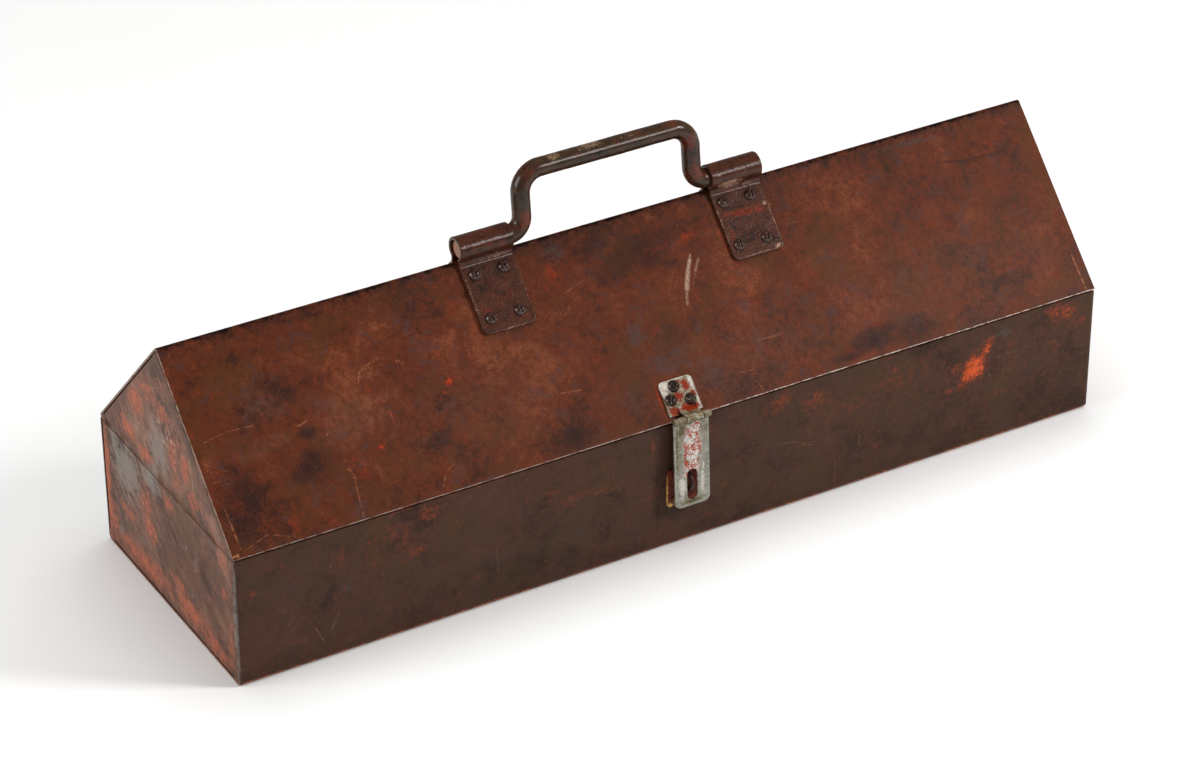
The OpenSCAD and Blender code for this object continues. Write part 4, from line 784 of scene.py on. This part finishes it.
def steel(name, dark, base, light, rust, seed, rust_amount=0.5, metal=0.45, rough=0.42, scale=1.0, here=(), pits=1.0, specular=0.3, mottle=1.0, bright=None, coat=0.0):
    """Oxidised bare steel: brown patina with rust bloom, pits, rubbed places and painted highlights."""
    t = Tree(name)
    big = t.noise(0.035 * scale, 3, 0.6, 0.5, seed=seed + 1)
    mid = t.noise(0.16 * scale, 5, 0.65, 0.4, seed=seed + 2)
    fine = t.noise(0.8 * scale, 6, 0.7, seed=seed + 3)
    grain = t.noise(4.0 * scale, 3, 0.6, seed=seed + 4)
    tone = t.mad(big, 0.45 * mottle, t.mad(mid, 0.75 * mottle, t.mad(fine, 0.55 * mottle, 0.5 - 0.875 * mottle)))
    # placed darker patches; on the strap leaves the rings round the screw heads are painted shade
    if "dark" in here:
        tone = t.mad(t.layer("m_dark"), -0.18, tone)
    colour = t.ramp(tone, [(0.26, dark), (0.48, base), (0.58, base), (0.80, light)])
    rm = bloom = t.mul(t.ss(t.noise(0.22 * scale, 7, 0.72, 0.5, seed=seed + 5), 0.52, 0.66), rust_amount)
    if "rust" in here:
        rm = t.maxi(rm, t.mul(t.ss(t.mad(t.sub(mid, 0.5), 1.4, t.mad(t.sub(fine, 0.5), 1.6, t.layer("m_rust"))), 0.28, 0.80), 0.85))
    colour = t.mix(rm, colour, t.mix(t.ss(fine, 0.35, 0.62), tuple(0.5 * c for c in rust), rust))
    pit = t.specks(0.9 * scale, 0.3, 0.35 * pits, seed)
    colour = t.mix(t.mul(pit, 0.6), colour, tuple(0.4 * c for c in dark))
    # paler rubbed places from noise; the placed layer adds rubbed edges and painted highlights on the strap bends and
    # edges and along the top of the grip
    rub_and_highlight = t.mul(t.ss(t.mad(t.sub(grain, 0.5), 0.5, fine), 0.56, 0.74), 0.20)
    if "wear" in here:
        rub_and_highlight = t.maxi(rub_and_highlight, t.ss(t.mad(t.sub(mid, 0.5), 1.0, t.mad(t.sub(fine, 0.5), 1.8, t.layer("m_wear"))), 0.34, 0.85))
    colour = t.mix(rub_and_highlight, colour, bright or light)
    if "ends" in here:
        colour = t.mix(t.ss(t.mad(t.sub(mid, 0.5), 0.8, t.layer("m_ends")), 0.3, 0.7), colour, t.mix(t.ss(fine, 0.35, 0.62), lin(98, 50, 26), lin(156, 96, 58)))
    r = t.add(t.mad(mid, 0.25, t.mul(rm, 0.25)), rough - 0.12)
    r = t.math("SUBTRACT", r, t.mul(rub_and_highlight, 0.10), clamp=True)
    h = t.sub(t.mad(grain, 0.2, fine), t.mad(pit, 0.8, t.mul(bloom, -0.3)))
    n = t.bump(h, 0.00010, strength=0.9)
    n = t.bump(mid, 0.0003, normal=n, strength=0.5)
    return t.finish(colour, r, n, metal=metal, specular=specular, coat=coat, coat_rough=0.16)


RUST = lin(150, 66, 40)
LEAVES = set(PLACED["strap_left_leaf"]) | set(PLACED["strap_right_leaf"])
strap_mat = steel("strap_steel", lin(34, 16, 10), lin(66, 34, 21), lin(98, 56, 37), lin(114, 40, 20), 31.0, 0.30, metal=0.04, rough=0.34, specular=0.06, coat=0.42, here=LEAVES, mottle=1.2, bright=lin(158, 120, 98))
rod_mat = steel("rod_steel", lin(28, 18, 11), lin(56, 38, 24), lin(94, 70, 46), lin(108, 44, 22), 37.0, 0.40, metal=0.10, rough=0.32, specular=0.08, coat=0.50, here=PLACED["rod"], mottle=1.2, bright=lin(128, 104, 80))
screw_mat = steel("screw_steel", lin(28, 17, 12), lin(60, 36, 27), lin(118, 84, 64), lin(104, 44, 26), 41.0, 0.35, metal=0.20, rough=0.26, specular=0.12, scale=2.0, coat=0.85)
hasp_screw_mat = steel("hasp_screw_steel", lin(26, 17, 12), lin(50, 33, 23), lin(104, 76, 56), lin(96, 40, 22), 42.0, 0.4, metal=0.3, rough=0.26, specular=0.15, scale=2.0, coat=0.6)
nut_mat = steel("nut_steel", lin(60, 48, 42), lin(92, 78, 70), lin(140, 128, 118), lin(130, 66, 42), 43.0, 0.6, metal=0.5, rough=0.5, scale=1.5)
hinge_mat = steel("hinge_steel", lin(46, 30, 25), lin(76, 50, 40), lin(120, 92, 80), RUST, 47.0, 0.45, metal=0.35, rough=0.44)
pin_mat = steel("pin_steel", lin(60, 52, 40), lin(104, 92, 70), lin(170, 156, 124), RUST, 53.0, 0.3, metal=0.7, rough=0.34, scale=2.0)
staple_mat = steel("staple_steel", lin(40, 19, 11), lin(104, 42, 20), lin(164, 110, 56), lin(138, 48, 22), 59.0, 0.8, metal=0.1, rough=0.5, here=PLACED["staple_plate"], bright=lin(196, 152, 84))
loop_mat = steel("loop_steel", lin(28, 19, 16), lin(58, 40, 32), lin(180, 164, 150), RUST, 61.0, 0.5, metal=0.7, rough=0.30, scale=2.0)


def galvanised(name, seed, frame_axes, white, red, base=lin(150, 154, 150), here=(), dirt=0.6, reds=(lin(80, 18, 4), lin(152, 44, 8))):
    """Dull zinc with flaking white paint and red primer. frame_axes gives the (u, v) directions and zero point in mm."""
    t = Tree(name)
    (au, av, at) = frame_axes
    uv = t.xyz(t.axis(au, at), t.axis(av, at))
    big = t.noise(0.10, 4, 0.6, 0.4, seed=seed + 1)
    mid = t.noise(0.35, 6, 0.7, 0.5, seed=seed + 2)
    fine = t.noise(1.3, 6, 0.72, seed=seed + 3)
    torn = t.noise(0.7, 7, 0.76, 0.6, seed=seed + 9)
    colour = t.ramp(t.mad(big, 0.5, t.mul(fine, 0.5)), [(0.32, tuple(0.40 * c for c in base)), (0.47, tuple(0.8 * c for c in base)), (0.60, base), (0.76, tuple(min(1, 1.3 * c) for c in base))])
    grime = t.ss(t.mad(t.sub(fine, 0.5), 0.5, t.noise(0.16, 6, 0.7, 0.5, seed=seed + 7)), 0.46, 0.66)
    colour = t.mix(t.mul(grime, dirt), colour, lin(96, 84, 58))
    if "brass" in here:
        colour = t.mix(t.mul(t.ss(t.mad(t.sub(torn, 0.5), 1.4, t.layer("m_brass")), 0.25, 0.75), 0.85), colour, t.mix(t.ss(fine, 0.38, 0.62), lin(78, 68, 44), lin(134, 120, 86)))
    wm = flakes = t.mul(t.ss(t.mad(t.sub(fine, 0.5), 0.5, t.noise(0.26, 6, 0.75, 0.8, seed=seed + 4)), 0.53, 0.60), white)
    if "white" in here:
        wm = t.maxi(wm, t.ss(t.mad(t.sub(torn, 0.5), 2.6, t.layer("m_white")), 0.46, 0.66))
    colour = t.mix(t.mul(wm, 0.9), colour, t.mix(t.ss(fine, 0.36, 0.6), lin(160, 152, 136), lin(214, 210, 202)))
    rm = t.mul(t.ss(t.mad(t.sub(fine, 0.5), 0.5, t.noise(0.30, 6, 0.75, 0.8, seed=seed + 6)), 0.60, 0.66), red)
    if "red" in here:
        rm = t.maxi(rm, t.ss(t.mad(t.sub(torn, 0.5), 3.0, t.layer("m_red")), 0.58, 0.78))
    if "crackle" in here:
        # flaking paint: a net of thin red and grey lines round bright flakes
        net = t.math("ABSOLUTE", t.sub(t.noise(0.19, 4, 0.60, 1.6, seed=seed + 12), 0.5))
        net2 = t.math("ABSOLUTE", t.sub(t.noise(0.34, 4, 0.66, 1.2, seed=seed + 15), 0.5))
        flake = t.mul(t.ss(t.mad(t.sub(torn, 0.5), 1.6, t.layer("m_crackle")), 0.35, 0.6), 0.9)
        colour = t.mix(t.mul(flake, t.fit(big, 0.38, 0.56, 0.70, 1.0)), colour, t.mix(t.ss(fine, 0.36, 0.60), lin(172, 170, 162), lin(238, 236, 230)))
        colour = t.mix(t.mul(flake, t.ss(net2, 0.034, 0.012)), colour, lin(112, 104, 92))
        rm = t.maxi(rm, t.mul(flake, t.mul(t.ss(net, 0.066, 0.040), t.ss(t.noise(0.14, 3, 0.6, seed=seed + 16), 0.40, 0.46))))
    colour = t.mix(t.mul(rm, 0.99), colour, t.mix(t.ss(fine, 0.36, 0.62), *reds))
    dk = t.mul(t.ss(t.noise(0.5, 6, 0.75, 0.5, seed=seed + 8), 0.58, 0.68), 0.7)
    if "shade" in here:
        dk = t.maxi(dk, t.ss(t.mad(t.sub(torn, 0.5), 2.0, t.layer("m_shade")), 0.38, 0.95))
    colour = t.mix(t.mul(dk, 0.82), colour, t.mix(t.ss(mid, 0.4, 0.6), lin(62, 44, 26), lin(96, 80, 48)))
    tk = t.maxi(t.ticks(uv, 9, 5, 0.10, seed + 1, 0.6), t.ticks(uv, 5, 2, 0.10, seed + 2, 0.5))
    colour = t.mix(t.mul(tk, 0.5), colour, lin(80, 74, 66))
    r = t.mad(mid, 0.25, t.mad(t.maxi(wm, rm), 0.15, 0.28))
    h = t.sub(t.mad(fine, 0.3, t.mul(flakes, 0.6)), t.mul(tk, 0.6))
    n = t.bump(h, 0.00007, strength=0.9)
    n = t.bump(mid, 0.0002, normal=n, strength=0.4)
    return t.finish(colour, r, n, metal=0.10, specular=0.10, coat=0.15)


HC, HS = math.cos(HASP_LEAN), math.sin(HASP_LEAN)
hasp_plate_mat = galvanised("hasp_plate_zinc", 67.0, ((1, 0, 0), (0, CS, SN), (0, -HD, EAVE)), 0.6, 0.55, lin(140, 128, 104), PLACED["hasp_plate"], 0.8)
hasp_strap_mat = galvanised("hasp_strap_zinc", 71.0, ((1, 0, 0), (0, HS, HC), (0, HASP_Y, HASP_Z)), 0.35, 0.05, lin(148, 146, 134), PLACED["hasp_strap"], 0.55, (lin(124, 32, 10), lin(184, 66, 32)))


# -------------------------------------------------------------------- geometry
def spaced(a, b, step):
    n = max(1, round((b - a) / step))
    return [a + (b - a) * i / n for i in range(1, n)]


def ramp01(v, lo, hi):
    k = np.clip((v - lo) / (hi - lo), 0, 1)
    return k * k * (3 - 2 * k)


def paint_by(mesh, mats, pick):
    """Gives each face the material that pick(centre, normal) numbers, in mm."""
    for m in mats:
        mesh.materials.append(m)
    n = len(mesh.polygons)
    c = np.empty(n * 3)
    mesh.polygons.foreach_get("center", c)
    k = np.empty(n * 3)
    mesh.polygons.foreach_get("normal", k)
    idx = pick(c.reshape(-1, 3) / MM, k.reshape(-1, 3)).astype(np.int32)
    mesh.polygons.foreach_set("material_index", idx)


def slope_of(p):
    """Distance up the slope from the eave, for points in mm."""
    return (HD - np.abs(p[:, 1])) * CS + (p[:, 2] - EAVE) * SN


def field(u, v, spots, wob):
    """Placed patches as one field: 1 well inside a patch, 0 outside, wandering a little at its border."""
    total = np.zeros(len(u))
    for cu, cv, ru, rv, turn, weight in spots:
        a = math.radians(turn)
        du, dv = u - cu, v - cv
        d = np.hypot((du * math.cos(a) + dv * math.sin(a)) / ru, (-du * math.sin(a) + dv * math.cos(a)) / rv)
        total = np.maximum(total, weight * (1 - ramp01(d + 0.30 * wob * np.minimum(d, 1.5), 0.0, 1.6)))
    return total


def lay_marks(mesh, faces_of, wander=9.0):
    """Writes the PLACED patches of each face into the mesh, for Tree.layer()."""
    p = get_co(mesh)
    fields = {k: np.zeros(len(p)) for face, *_ in faces_of(p) for k in PLACED[face]}
    for face, where, u, v in faces_of(p):
        idx = np.nonzero(where)[0]
        if not len(idx):
            continue
        uu, vv = u[idx], v[idx]
        wob = hills(np.stack([uu, vv, 0 * uu], 1), 1 / wander, 77.0, 3)
        for k, spots in PLACED[face].items():
            fields[k][idx] = field(uu, vv, spots, wob)
    for k, f in fields.items():
        if f.max() > 0:
            at = mesh.attributes.new("m_" + k, "FLOAT", "POINT")
            at.data.foreach_set("value", f.astype(np.float32))


def make_roof():
    n, d = (SN, CS), (CS, -SN)
    c = (0, RIDGE - 2.5 / CS)
    fl, bl = SLEN + 1, SLEN - 0.4
    fe = (-fl * d[0], RIDGE + fl * d[1])
    be = (bl * d[0], RIDGE + bl * d[1])
    sa = math.degrees(SA)
    outline = [fe] + arc(c, 2.5, 90 + sa, 90 - sa, 12) + [be, (be[0] - T * n[0], be[1] - T * n[1])] + arc(c, 1.0, 90 - sa, 90 + sa, 8) + [(fe[0] + T * n[0], fe[1] - T * n[1])]
    outline = rounded(outline, 0.3)

    def step(q):
        off = (HD - abs(q[0])) * SN - (q[1] - EAVE) * CS
        return (2.0 if q[0] < 0 else 3.5) if off < 0.75 else 8.0

    mesh = drawn_out("roof_sheet", cut_up(outline, step), HL, 2.0)
    co = get_co(mesh)
    side = np.sign(co[:, 1])
    s = (HD - np.abs(co[:, 1])) * CS + (co[:, 2] - EAVE) * SN
    flat = np.stack([co[:, 0], side * (40 + s), 0 * s], 1)
    h = 0.34 * hills(flat, 1 / 110, 1.0) + 0.10 * hills(flat, 1 / 34, 2.0)
    fade = (1 - ramp01(np.abs(co[:, 0]), 272, 291)) * ramp01(s, 10, 30) * (1 - ramp01(s, 108, 124))
    lip = 0.12 * hills(np.stack([co[:, 0], 60 * side, 0 * s], 1), 1 / 40, 3.0) * (1 - ramp01(s, 2, 14)) * (1 - ramp01(np.abs(co[:, 0]), 285, 300))
    k = h * fade + lip
    # low under the hardware, so that plates stay in sight
    for x, r in ((-89.5, 20), (86, 20), (0.3, 14)):
        k -= 0.15 * np.exp(-((co[:, 0] - x) / r) ** 4) * fade
    co += k[:, None] * np.stack([0 * s, side * SN, CS + 0 * s], 1)
    put_co(mesh, co)
    smooth_shade(mesh, 30)

    def pick(c, nn):
        up = nn[:, 2] * CS + np.abs(nn[:, 1]) * SN * np.sign(nn[:, 1] * c[:, 1])
        outer = ((HD - np.abs(c[:, 1])) * SN - (c[:, 2] - EAVE) * CS) < 0.75
        return np.where(outer | (np.abs(nn[:, 0]) > 0.5), np.where(c[:, 1] < 0, 0, 1), 2)

    paint_by(mesh, [roof_front, roof_back, inside], pick)
    lay_marks(mesh, lambda p: [("roof_front", p[:, 1] < 0, p[:, 0], slope_of(p)), ("roof_back", p[:, 1] >= 0, p[:, 0], slope_of(p))])
    return shown("roof_sheet", mesh, "lid_roof", "lid")


def make_wrap():
    hd, r = HD, 4.0
    outline = [(-hd, RIM)] + arc((-hd + r, r), r, 180, 270) + arc((hd - r, r), r, 270, 360) + [(hd, RIM), (hd - T, RIM)] + arc((hd - r, r), r - T, 0, -90) + arc((-hd + r, r), r - T, -90, -180) + [(-hd + T, RIM)]
    outline = rounded(outline, 0.3)

    def step(q):
        if abs(q[0]) > hd - 0.7:
            return 2.0 if q[0] < 0 else 3.5
        return 6.0 if q[1] < 0.7 else 10.0

    mesh = drawn_out("base_sheet", cut_up(outline, step), HL, 2.0)
    co = get_co(mesh)
    side = np.sign(co[:, 1])
    wall = np.abs(co[:, 1]) > 90
    flat = np.stack([co[:, 0], side * (co[:, 2] + 50), 0 * side], 1)
    h = 0.30 * hills(flat, 1 / 100, 5.0) + 0.08 * hills(flat, 1 / 30, 6.0)
    fade = wall * (1 - ramp01(np.abs(co[:, 0]), 270, 290)) * ramp01(co[:, 2], 5, 22) * (1 - 0.8 * ramp01(co[:, 2], 66, 86))
    for x, rr in ((-190, 40), (190, 40)):
        fade *= 1 - 0.9 * (side > 0) * np.exp(-((co[:, 0] - x) / rr) ** 4)
    fade *= 1 - 0.9 * (side < 0) * np.exp(-(co[:, 0] / 22) ** 4)
    co[:, 1] += side * np.minimum(h, 0.25) * fade
    put_co(mesh, co)
    smooth_shade(mesh, 30)

    def pick(c, nn):
        inner = (np.abs(c[:, 1]) < 91.2) & (c[:, 2] > 0.8) & ~((np.hypot(np.abs(c[:, 1]) - 88, c[:, 2] - 4) > 3.2) & (np.abs(c[:, 1]) > 88) & (c[:, 2] < 4))
        floor = (c[:, 2] < 3.0) & (nn[:, 2] < -0.7)
        idx = np.where(floor, 2, np.where(c[:, 1] < 0, 0, 1))
        idx = np.where(inner & (np.abs(nn[:, 0]) < 0.5), 3, idx)
        return idx

    paint_by(mesh, [wall_front, wall_back, underside, inside], pick)
    lay_marks(mesh, lambda p: [("wall_front", (p[:, 1] < -87), p[:, 0], p[:, 2]), ("wall_back", p[:, 1] > 87, p[:, 0], p[:, 2]),
                               ("underside", np.abs(p[:, 1]) <= 87, p[:, 0], p[:, 1])])
    return shown("base_sheet", mesh, "base_wrap", "base")


def make_end(node, body, mat, sx, name):
    """An end panel or gable: the outer face cut finely and gently dented."""
    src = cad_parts[node].data
    bm = bmesh.new()
    bm.from_mesh(src)
    bmesh.ops.remove_doubles(bm, verts=bm.verts, dist=0.003 * MM)
    bmesh.ops.dissolve_limit(bm, angle_limit=math.radians(0.4), verts=bm.verts, edges=bm.edges)
    bm.normal_update()
    sharp = [e for e in bm.edges if len(e.link_faces) == 2 and e.calc_face_angle(0) > math.radians(35)]
    bmesh.ops.bevel(bm, geom=sharp, offset=0.25 * MM, segments=2, profile=0.5, affect="EDGES", clamp_overlap=True)
    fine = 3.0 if sx < 0 else 4.5
    zs = spaced(2, 88, fine) if body == "base" else spaced(91, 183, fine)
    for no, vals in (((0, 1, 0), spaced(-91, 91, fine)), ((0, 0, 1), zs)):
        for q in vals:
            fs = [f for f in bm.faces if abs(f.normal.x) > 0.95]
            es = list({e for f in fs for e in f.edges})
            vs = list({v for f in fs for v in f.verts})
            bmesh.ops.bisect_plane(bm, geom=vs + es + fs, plane_co=[c * q * MM for c in no], plane_no=no)
    bmesh.ops.triangulate(bm, faces=[f for f in bm.faces if len(f.verts) > 4])
    mesh = bpy.data.meshes.new(name)
    bm.to_mesh(mesh)
    bm.free()
    co = get_co(mesh)
    plate = np.abs(co[:, 0]) > 303.2
    top = RIDGE - np.abs(co[:, 1]) * RISE / HD
    room = np.minimum(HD - np.abs(co[:, 1]), (top - co[:, 2]) * CS) if body == "lid" else np.minimum(HD - np.abs(co[:, 1]), co[:, 2])
    h = -0.18 + 0.26 * hills(np.stack([0 * co[:, 0], co[:, 1], co[:, 2]], 1), 1 / 60, 8.0 + sx) + 0.08 * hills(co, 1 / 20, 9.0 + sx)
    k = np.minimum(h, 0) * plate * ramp01(room, 5, 16)
    co[:, 0] += sx * k
    put_co(mesh, co)
    smooth_shade(mesh, 30)
    paint_by(mesh, [mat, inside], lambda c, nn: np.where((nn[:, 0] * sx > 0.05) | (np.abs(c[:, 0]) > 304.2), 0, 1))
    lay_marks(mesh, lambda p: [("end_left" if sx < 0 else "end_right", p[:, 1] > -999, p[:, 1], p[:, 2])])
    return shown(name, mesh, node, body)


# the box of the CAD part ends here, behind and on top
REAR, TOP = float(CAD_BOX[1][1]) * 1000 - 0.002, float(CAD_BOX[1][2]) * 1000 - 0.002


def make_handle():
    mesh = voxel_copy("carry_handle", 0.5, 3)
    co, nn = get_co(mesh), get_normals(mesh)
    ax = np.abs(co[:, 0] + 1.1)
    # the stubs turn in the straps, so they stay true
    k = 1 - ramp01(ax, 61, 66)
    up = ramp01(co[:, 2], 200, 204)
    k = np.maximum(k, up * (ax < 70))
    h = 0.16 * hills(co, 1 / 22, 12.0) + 0.07 * hills(co, 1 / 6, 13.0) + 0.03 * hills(co, 1 / 1.8, 14.0)
    # the grip has worn a little flat on top and at its middle
    co += nn * ((np.minimum(h, 0.12) - 0.05) * k)[:, None]
    co[:, 2] = np.minimum(co[:, 2], TOP)
    put_co(mesh, co)
    smooth_shade(mesh, 60)
    mesh.materials.append(rod_mat)
    lay_marks(mesh, lambda p: [("rod", p[:, 2] > 0, p[:, 0], p[:, 2])], 4.0)
    return shown("handle_rod", mesh, "carry_handle", "handle")


def make_strap(node, seed):
    mesh = voxel_copy(node, 0.36, 3)
    co, nn = get_co(mesh), get_normals(mesh)
    s = (HD - np.abs(co[:, 1])) * CS + (co[:, 2] - EAVE) * SN      # up the slope
    out = -(HD - np.abs(co[:, 1])) * SN + (co[:, 2] - EAVE) * CS   # off the slope
    leaf = ramp01(out, 1.0, 1.8)
    r = np.hypot(co[:, 1], co[:, 2] - PIVOT)
    free = leaf * (r > 7.0) * ramp01(r, 7.0, 7.8)
    h = 0.09 * hills(co, 1 / 16, seed) + 0.05 * hills(co, 1 / 4, seed + 1) + 0.035 * hills(co, 1 / 1.3, seed + 2)
    co += nn * ((np.minimum(h, 0.08) - 0.02) * free)[:, None]
    put_co(mesh, co)
    smooth_shade(mesh, 60)
    mesh.materials.append(strap_mat)
    lay_marks(mesh, lambda p: [("strap_left_leaf" if node.endswith("left") else "strap_right_leaf", p[:, 1] < 4, p[:, 0], slope_of(p))], 3.0)
    return shown(node + "_plate", mesh, node, "lid")


def make_voxel(node, name, body, mat, voxel, smooth=2, rough=(0.03, 3.0), seed=0.0, faces_of=None):
    mesh = voxel_copy(node, voxel, smooth)
    co, nn = get_co(mesh), get_normals(mesh)
    co += nn * (rough[0] * hills(co, 1 / rough[1], seed))[:, None]
    co[:, 1] = np.minimum(co[:, 1], REAR)
    put_co(mesh, co)
    smooth_shade(mesh, 60)
    mesh.materials.append(mat)
    if faces_of:
        lay_marks(mesh, faces_of, 2.5)
    return shown(name, mesh, node, body)


def make_crisp(node, name, body, mat, width=0.2):
    mesh = crisp_copy(node, width)
    mesh.materials.clear()
    mesh.materials.append(mat)
    mesh.polygons.foreach_set("material_index", [0] * len(mesh.polygons))
    return shown(name, mesh, node, body)


make_roof()
make_wrap()
make_end("base_end_left", "base", end_left, -1, "end_panel_left")
make_end("base_end_right", "base", end_right, 1, "end_panel_right")
make_end("lid_gable_left", "lid", end_left, -1, "gable_left")
make_end("lid_gable_right", "lid", end_right, 1, "gable_right")
make_handle()
make_strap("handle_strap_left", 21.0)
make_strap("handle_strap_right", 24.0)
make_voxel("hasp_plate", "hasp_roof_plate", "lid", hasp_plate_mat, 0.2, 2, (0.03, 3.0), 31.0,
           lambda p: [("hasp_plate", p[:, 1] < 0, p[:, 0], slope_of(p))])
make_voxel("hasp_strap", "hasp_slotted_strap", "hasp", hasp_strap_mat, 0.22, 2, (0.03, 4.0), 33.0,
           lambda p: [("hasp_strap", p[:, 1] < 0, p[:, 0], (p[:, 1] - HASP_Y) * HS + (p[:, 2] - HASP_Z) * HC)])
make_voxel("staple_plate", "staple_wall_plate", "base", staple_mat, 0.3, 2, (0.06, 3.0), 35.0,
           lambda p: [("staple_plate", p[:, 1] < 0, p[:, 0], p[:, 2])])
make_voxel("staple_loop", "staple_wire", "base", loop_mat, 0.16, 2, (0.02, 2.0), 37.0)
for nd, nm in (("strap_screws_left", "screws_left"), ("strap_screws_right", "screws_right"), ("hasp_plate_screws", "hasp_screws")):
    mat = hasp_screw_mat if nd.startswith("hasp") else screw_mat
    make_voxel(nd, nm, "lid", mat, 0.16, 2, (0.03, 1.2), 39.0)
for nd, nm in (("strap_nuts_left", "nuts_left"), ("strap_nuts_right", "nuts_right"), ("hasp_plate_nuts", "hasp_nuts")):
    make_crisp(nd, nm, "lid", nut_mat, 0.15)
make_crisp("hasp_pin", "hasp_hinge_pin", "hasp", pin_mat, 0.1)
make_voxel("staple_rivets", "staple_rivet_heads", "base", staple_mat, 0.2, 1, (0.03, 1.5), 41.0)
for side in ("left", "right"):
    make_voxel("hinge_base_leaf_" + side, "hinge_wall_leaf_" + side, "base", hinge_mat, 0.42, 2, (0.03, 4.0), 43.0)
    make_voxel("hinge_lid_leaf_" + side, "hinge_roof_leaf_" + side, "lid", hinge_mat, 0.42, 2, (0.03, 4.0), 45.0)
    make_crisp("hinge_pin_" + side, "hinge_rod_" + side, "base", pin_mat, 0.1)
make_voxel("hinge_base_rivets", "hinge_wall_rivets", "base", hinge_mat, 0.25, 1, (0.03, 2.0), 47.0)
make_voxel("hinge_lid_rivets", "hinge_roof_rivets", "lid", hinge_mat, 0.25, 1, (0.03, 2.0), 49.0)

# -------------------------------------------------------- floor, light, camera
floor_mesh = bpy.data.meshes.new("studio_floor")
floor_mesh.from_pydata([(-6, -6, 0), (6, -6, 0), (6, 6, 0), (-6, 6, 0)], [], [(0, 1, 2, 3)])
studio_floor = bpy.data.objects.new("studio_floor", floor_mesh)
bpy.context.scene.collection.objects.link(studio_floor)
ft = Tree("pale_floor")
floor_mesh.materials.append(ft.finish(ft.mix(ft.noise(0.004, 3, 0.6), (0.90, 0.90, 0.895), (0.92, 0.92, 0.915)), 0.9, specular=0.1))

world = bpy.data.worlds.new("studio")
bpy.context.scene.world = world
world.use_nodes = True
bg = world.node_tree.nodes["Background"]
bg.inputs["Color"].default_value = (1.0, 0.985, 0.97, 1.0)
bg.inputs["Strength"].default_value = 0.24


def softbox(name, at, size, power, aim=(0, 0, 0.09), colour=(1, 1, 1), glossy=True, diffuse=True, spread=180.0):
    lamp = bpy.data.lights.new(name, "AREA")
    lamp.shape, lamp.size, lamp.size_y = "RECTANGLE", size[0], size[1]
    lamp.energy, lamp.color, lamp.spread = power, colour, math.radians(spread)
    o = bpy.data.objects.new(name, lamp)
    bpy.context.scene.collection.objects.link(o)
    o.location = at
    o.rotation_mode = "QUATERNION"
    o.rotation_quaternion = (Vector(aim) - Vector(at)).to_track_quat("-Z", "Y")
    o.visible_glossy, o.visible_diffuse = glossy, diffuse
    return o


softbox("top", (0.2, 0.4, 2.6), (2.2, 2.2), 38, glossy=False)
softbox("glint", (0.82, -1.455, 1.10), (0.5, 0.5), 9, diffuse=False)
softbox("right_key", (1.9, -1.5, 1.6), (0.6, 0.6), 58, glossy=False)
softbox("right_sheen", (1.92, -1.52, 1.62), (0.6, 0.6), 28, diffuse=False)
softbox("left_fill", (-2.0, 0.2, 0.9), (1.2, 1.0), 22)

az, el, roll = math.radians(-30.339), math.radians(31.653), math.radians(-0.128)
back = Vector((math.sin(az) * math.cos(el), -math.cos(az) * math.cos(el), math.sin(el)))
right = Vector((math.cos(az), math.sin(az), 0))
up = back.cross(right)
R = math.cos(roll) * right + math.sin(roll) * up
U = -math.sin(roll) * right + math.cos(roll) * up
spot = (back * 2564.212 + right * -6.11 + up * 51.749) * MM
cam_data = bpy.data.cameras.new("camera")
cam_data.sensor_width, cam_data.lens = 36.0, 4041.975 / 1200 * 36
cam_data.clip_start, cam_data.clip_end = 0.05, 50
cam = bpy.data.objects.new("camera", cam_data)
bpy.context.scene.collection.objects.link(cam)
cam.matrix_world = Matrix(((R.x, U.x, back.x, spot.x), (R.y, U.y, back.y, spot.y), (R.z, U.z, back.z, spot.z), (0, 0, 0, 1)))
bpy.context.scene.camera = cam
bpy.context.scene.view_settings.view_transform = "Standard"
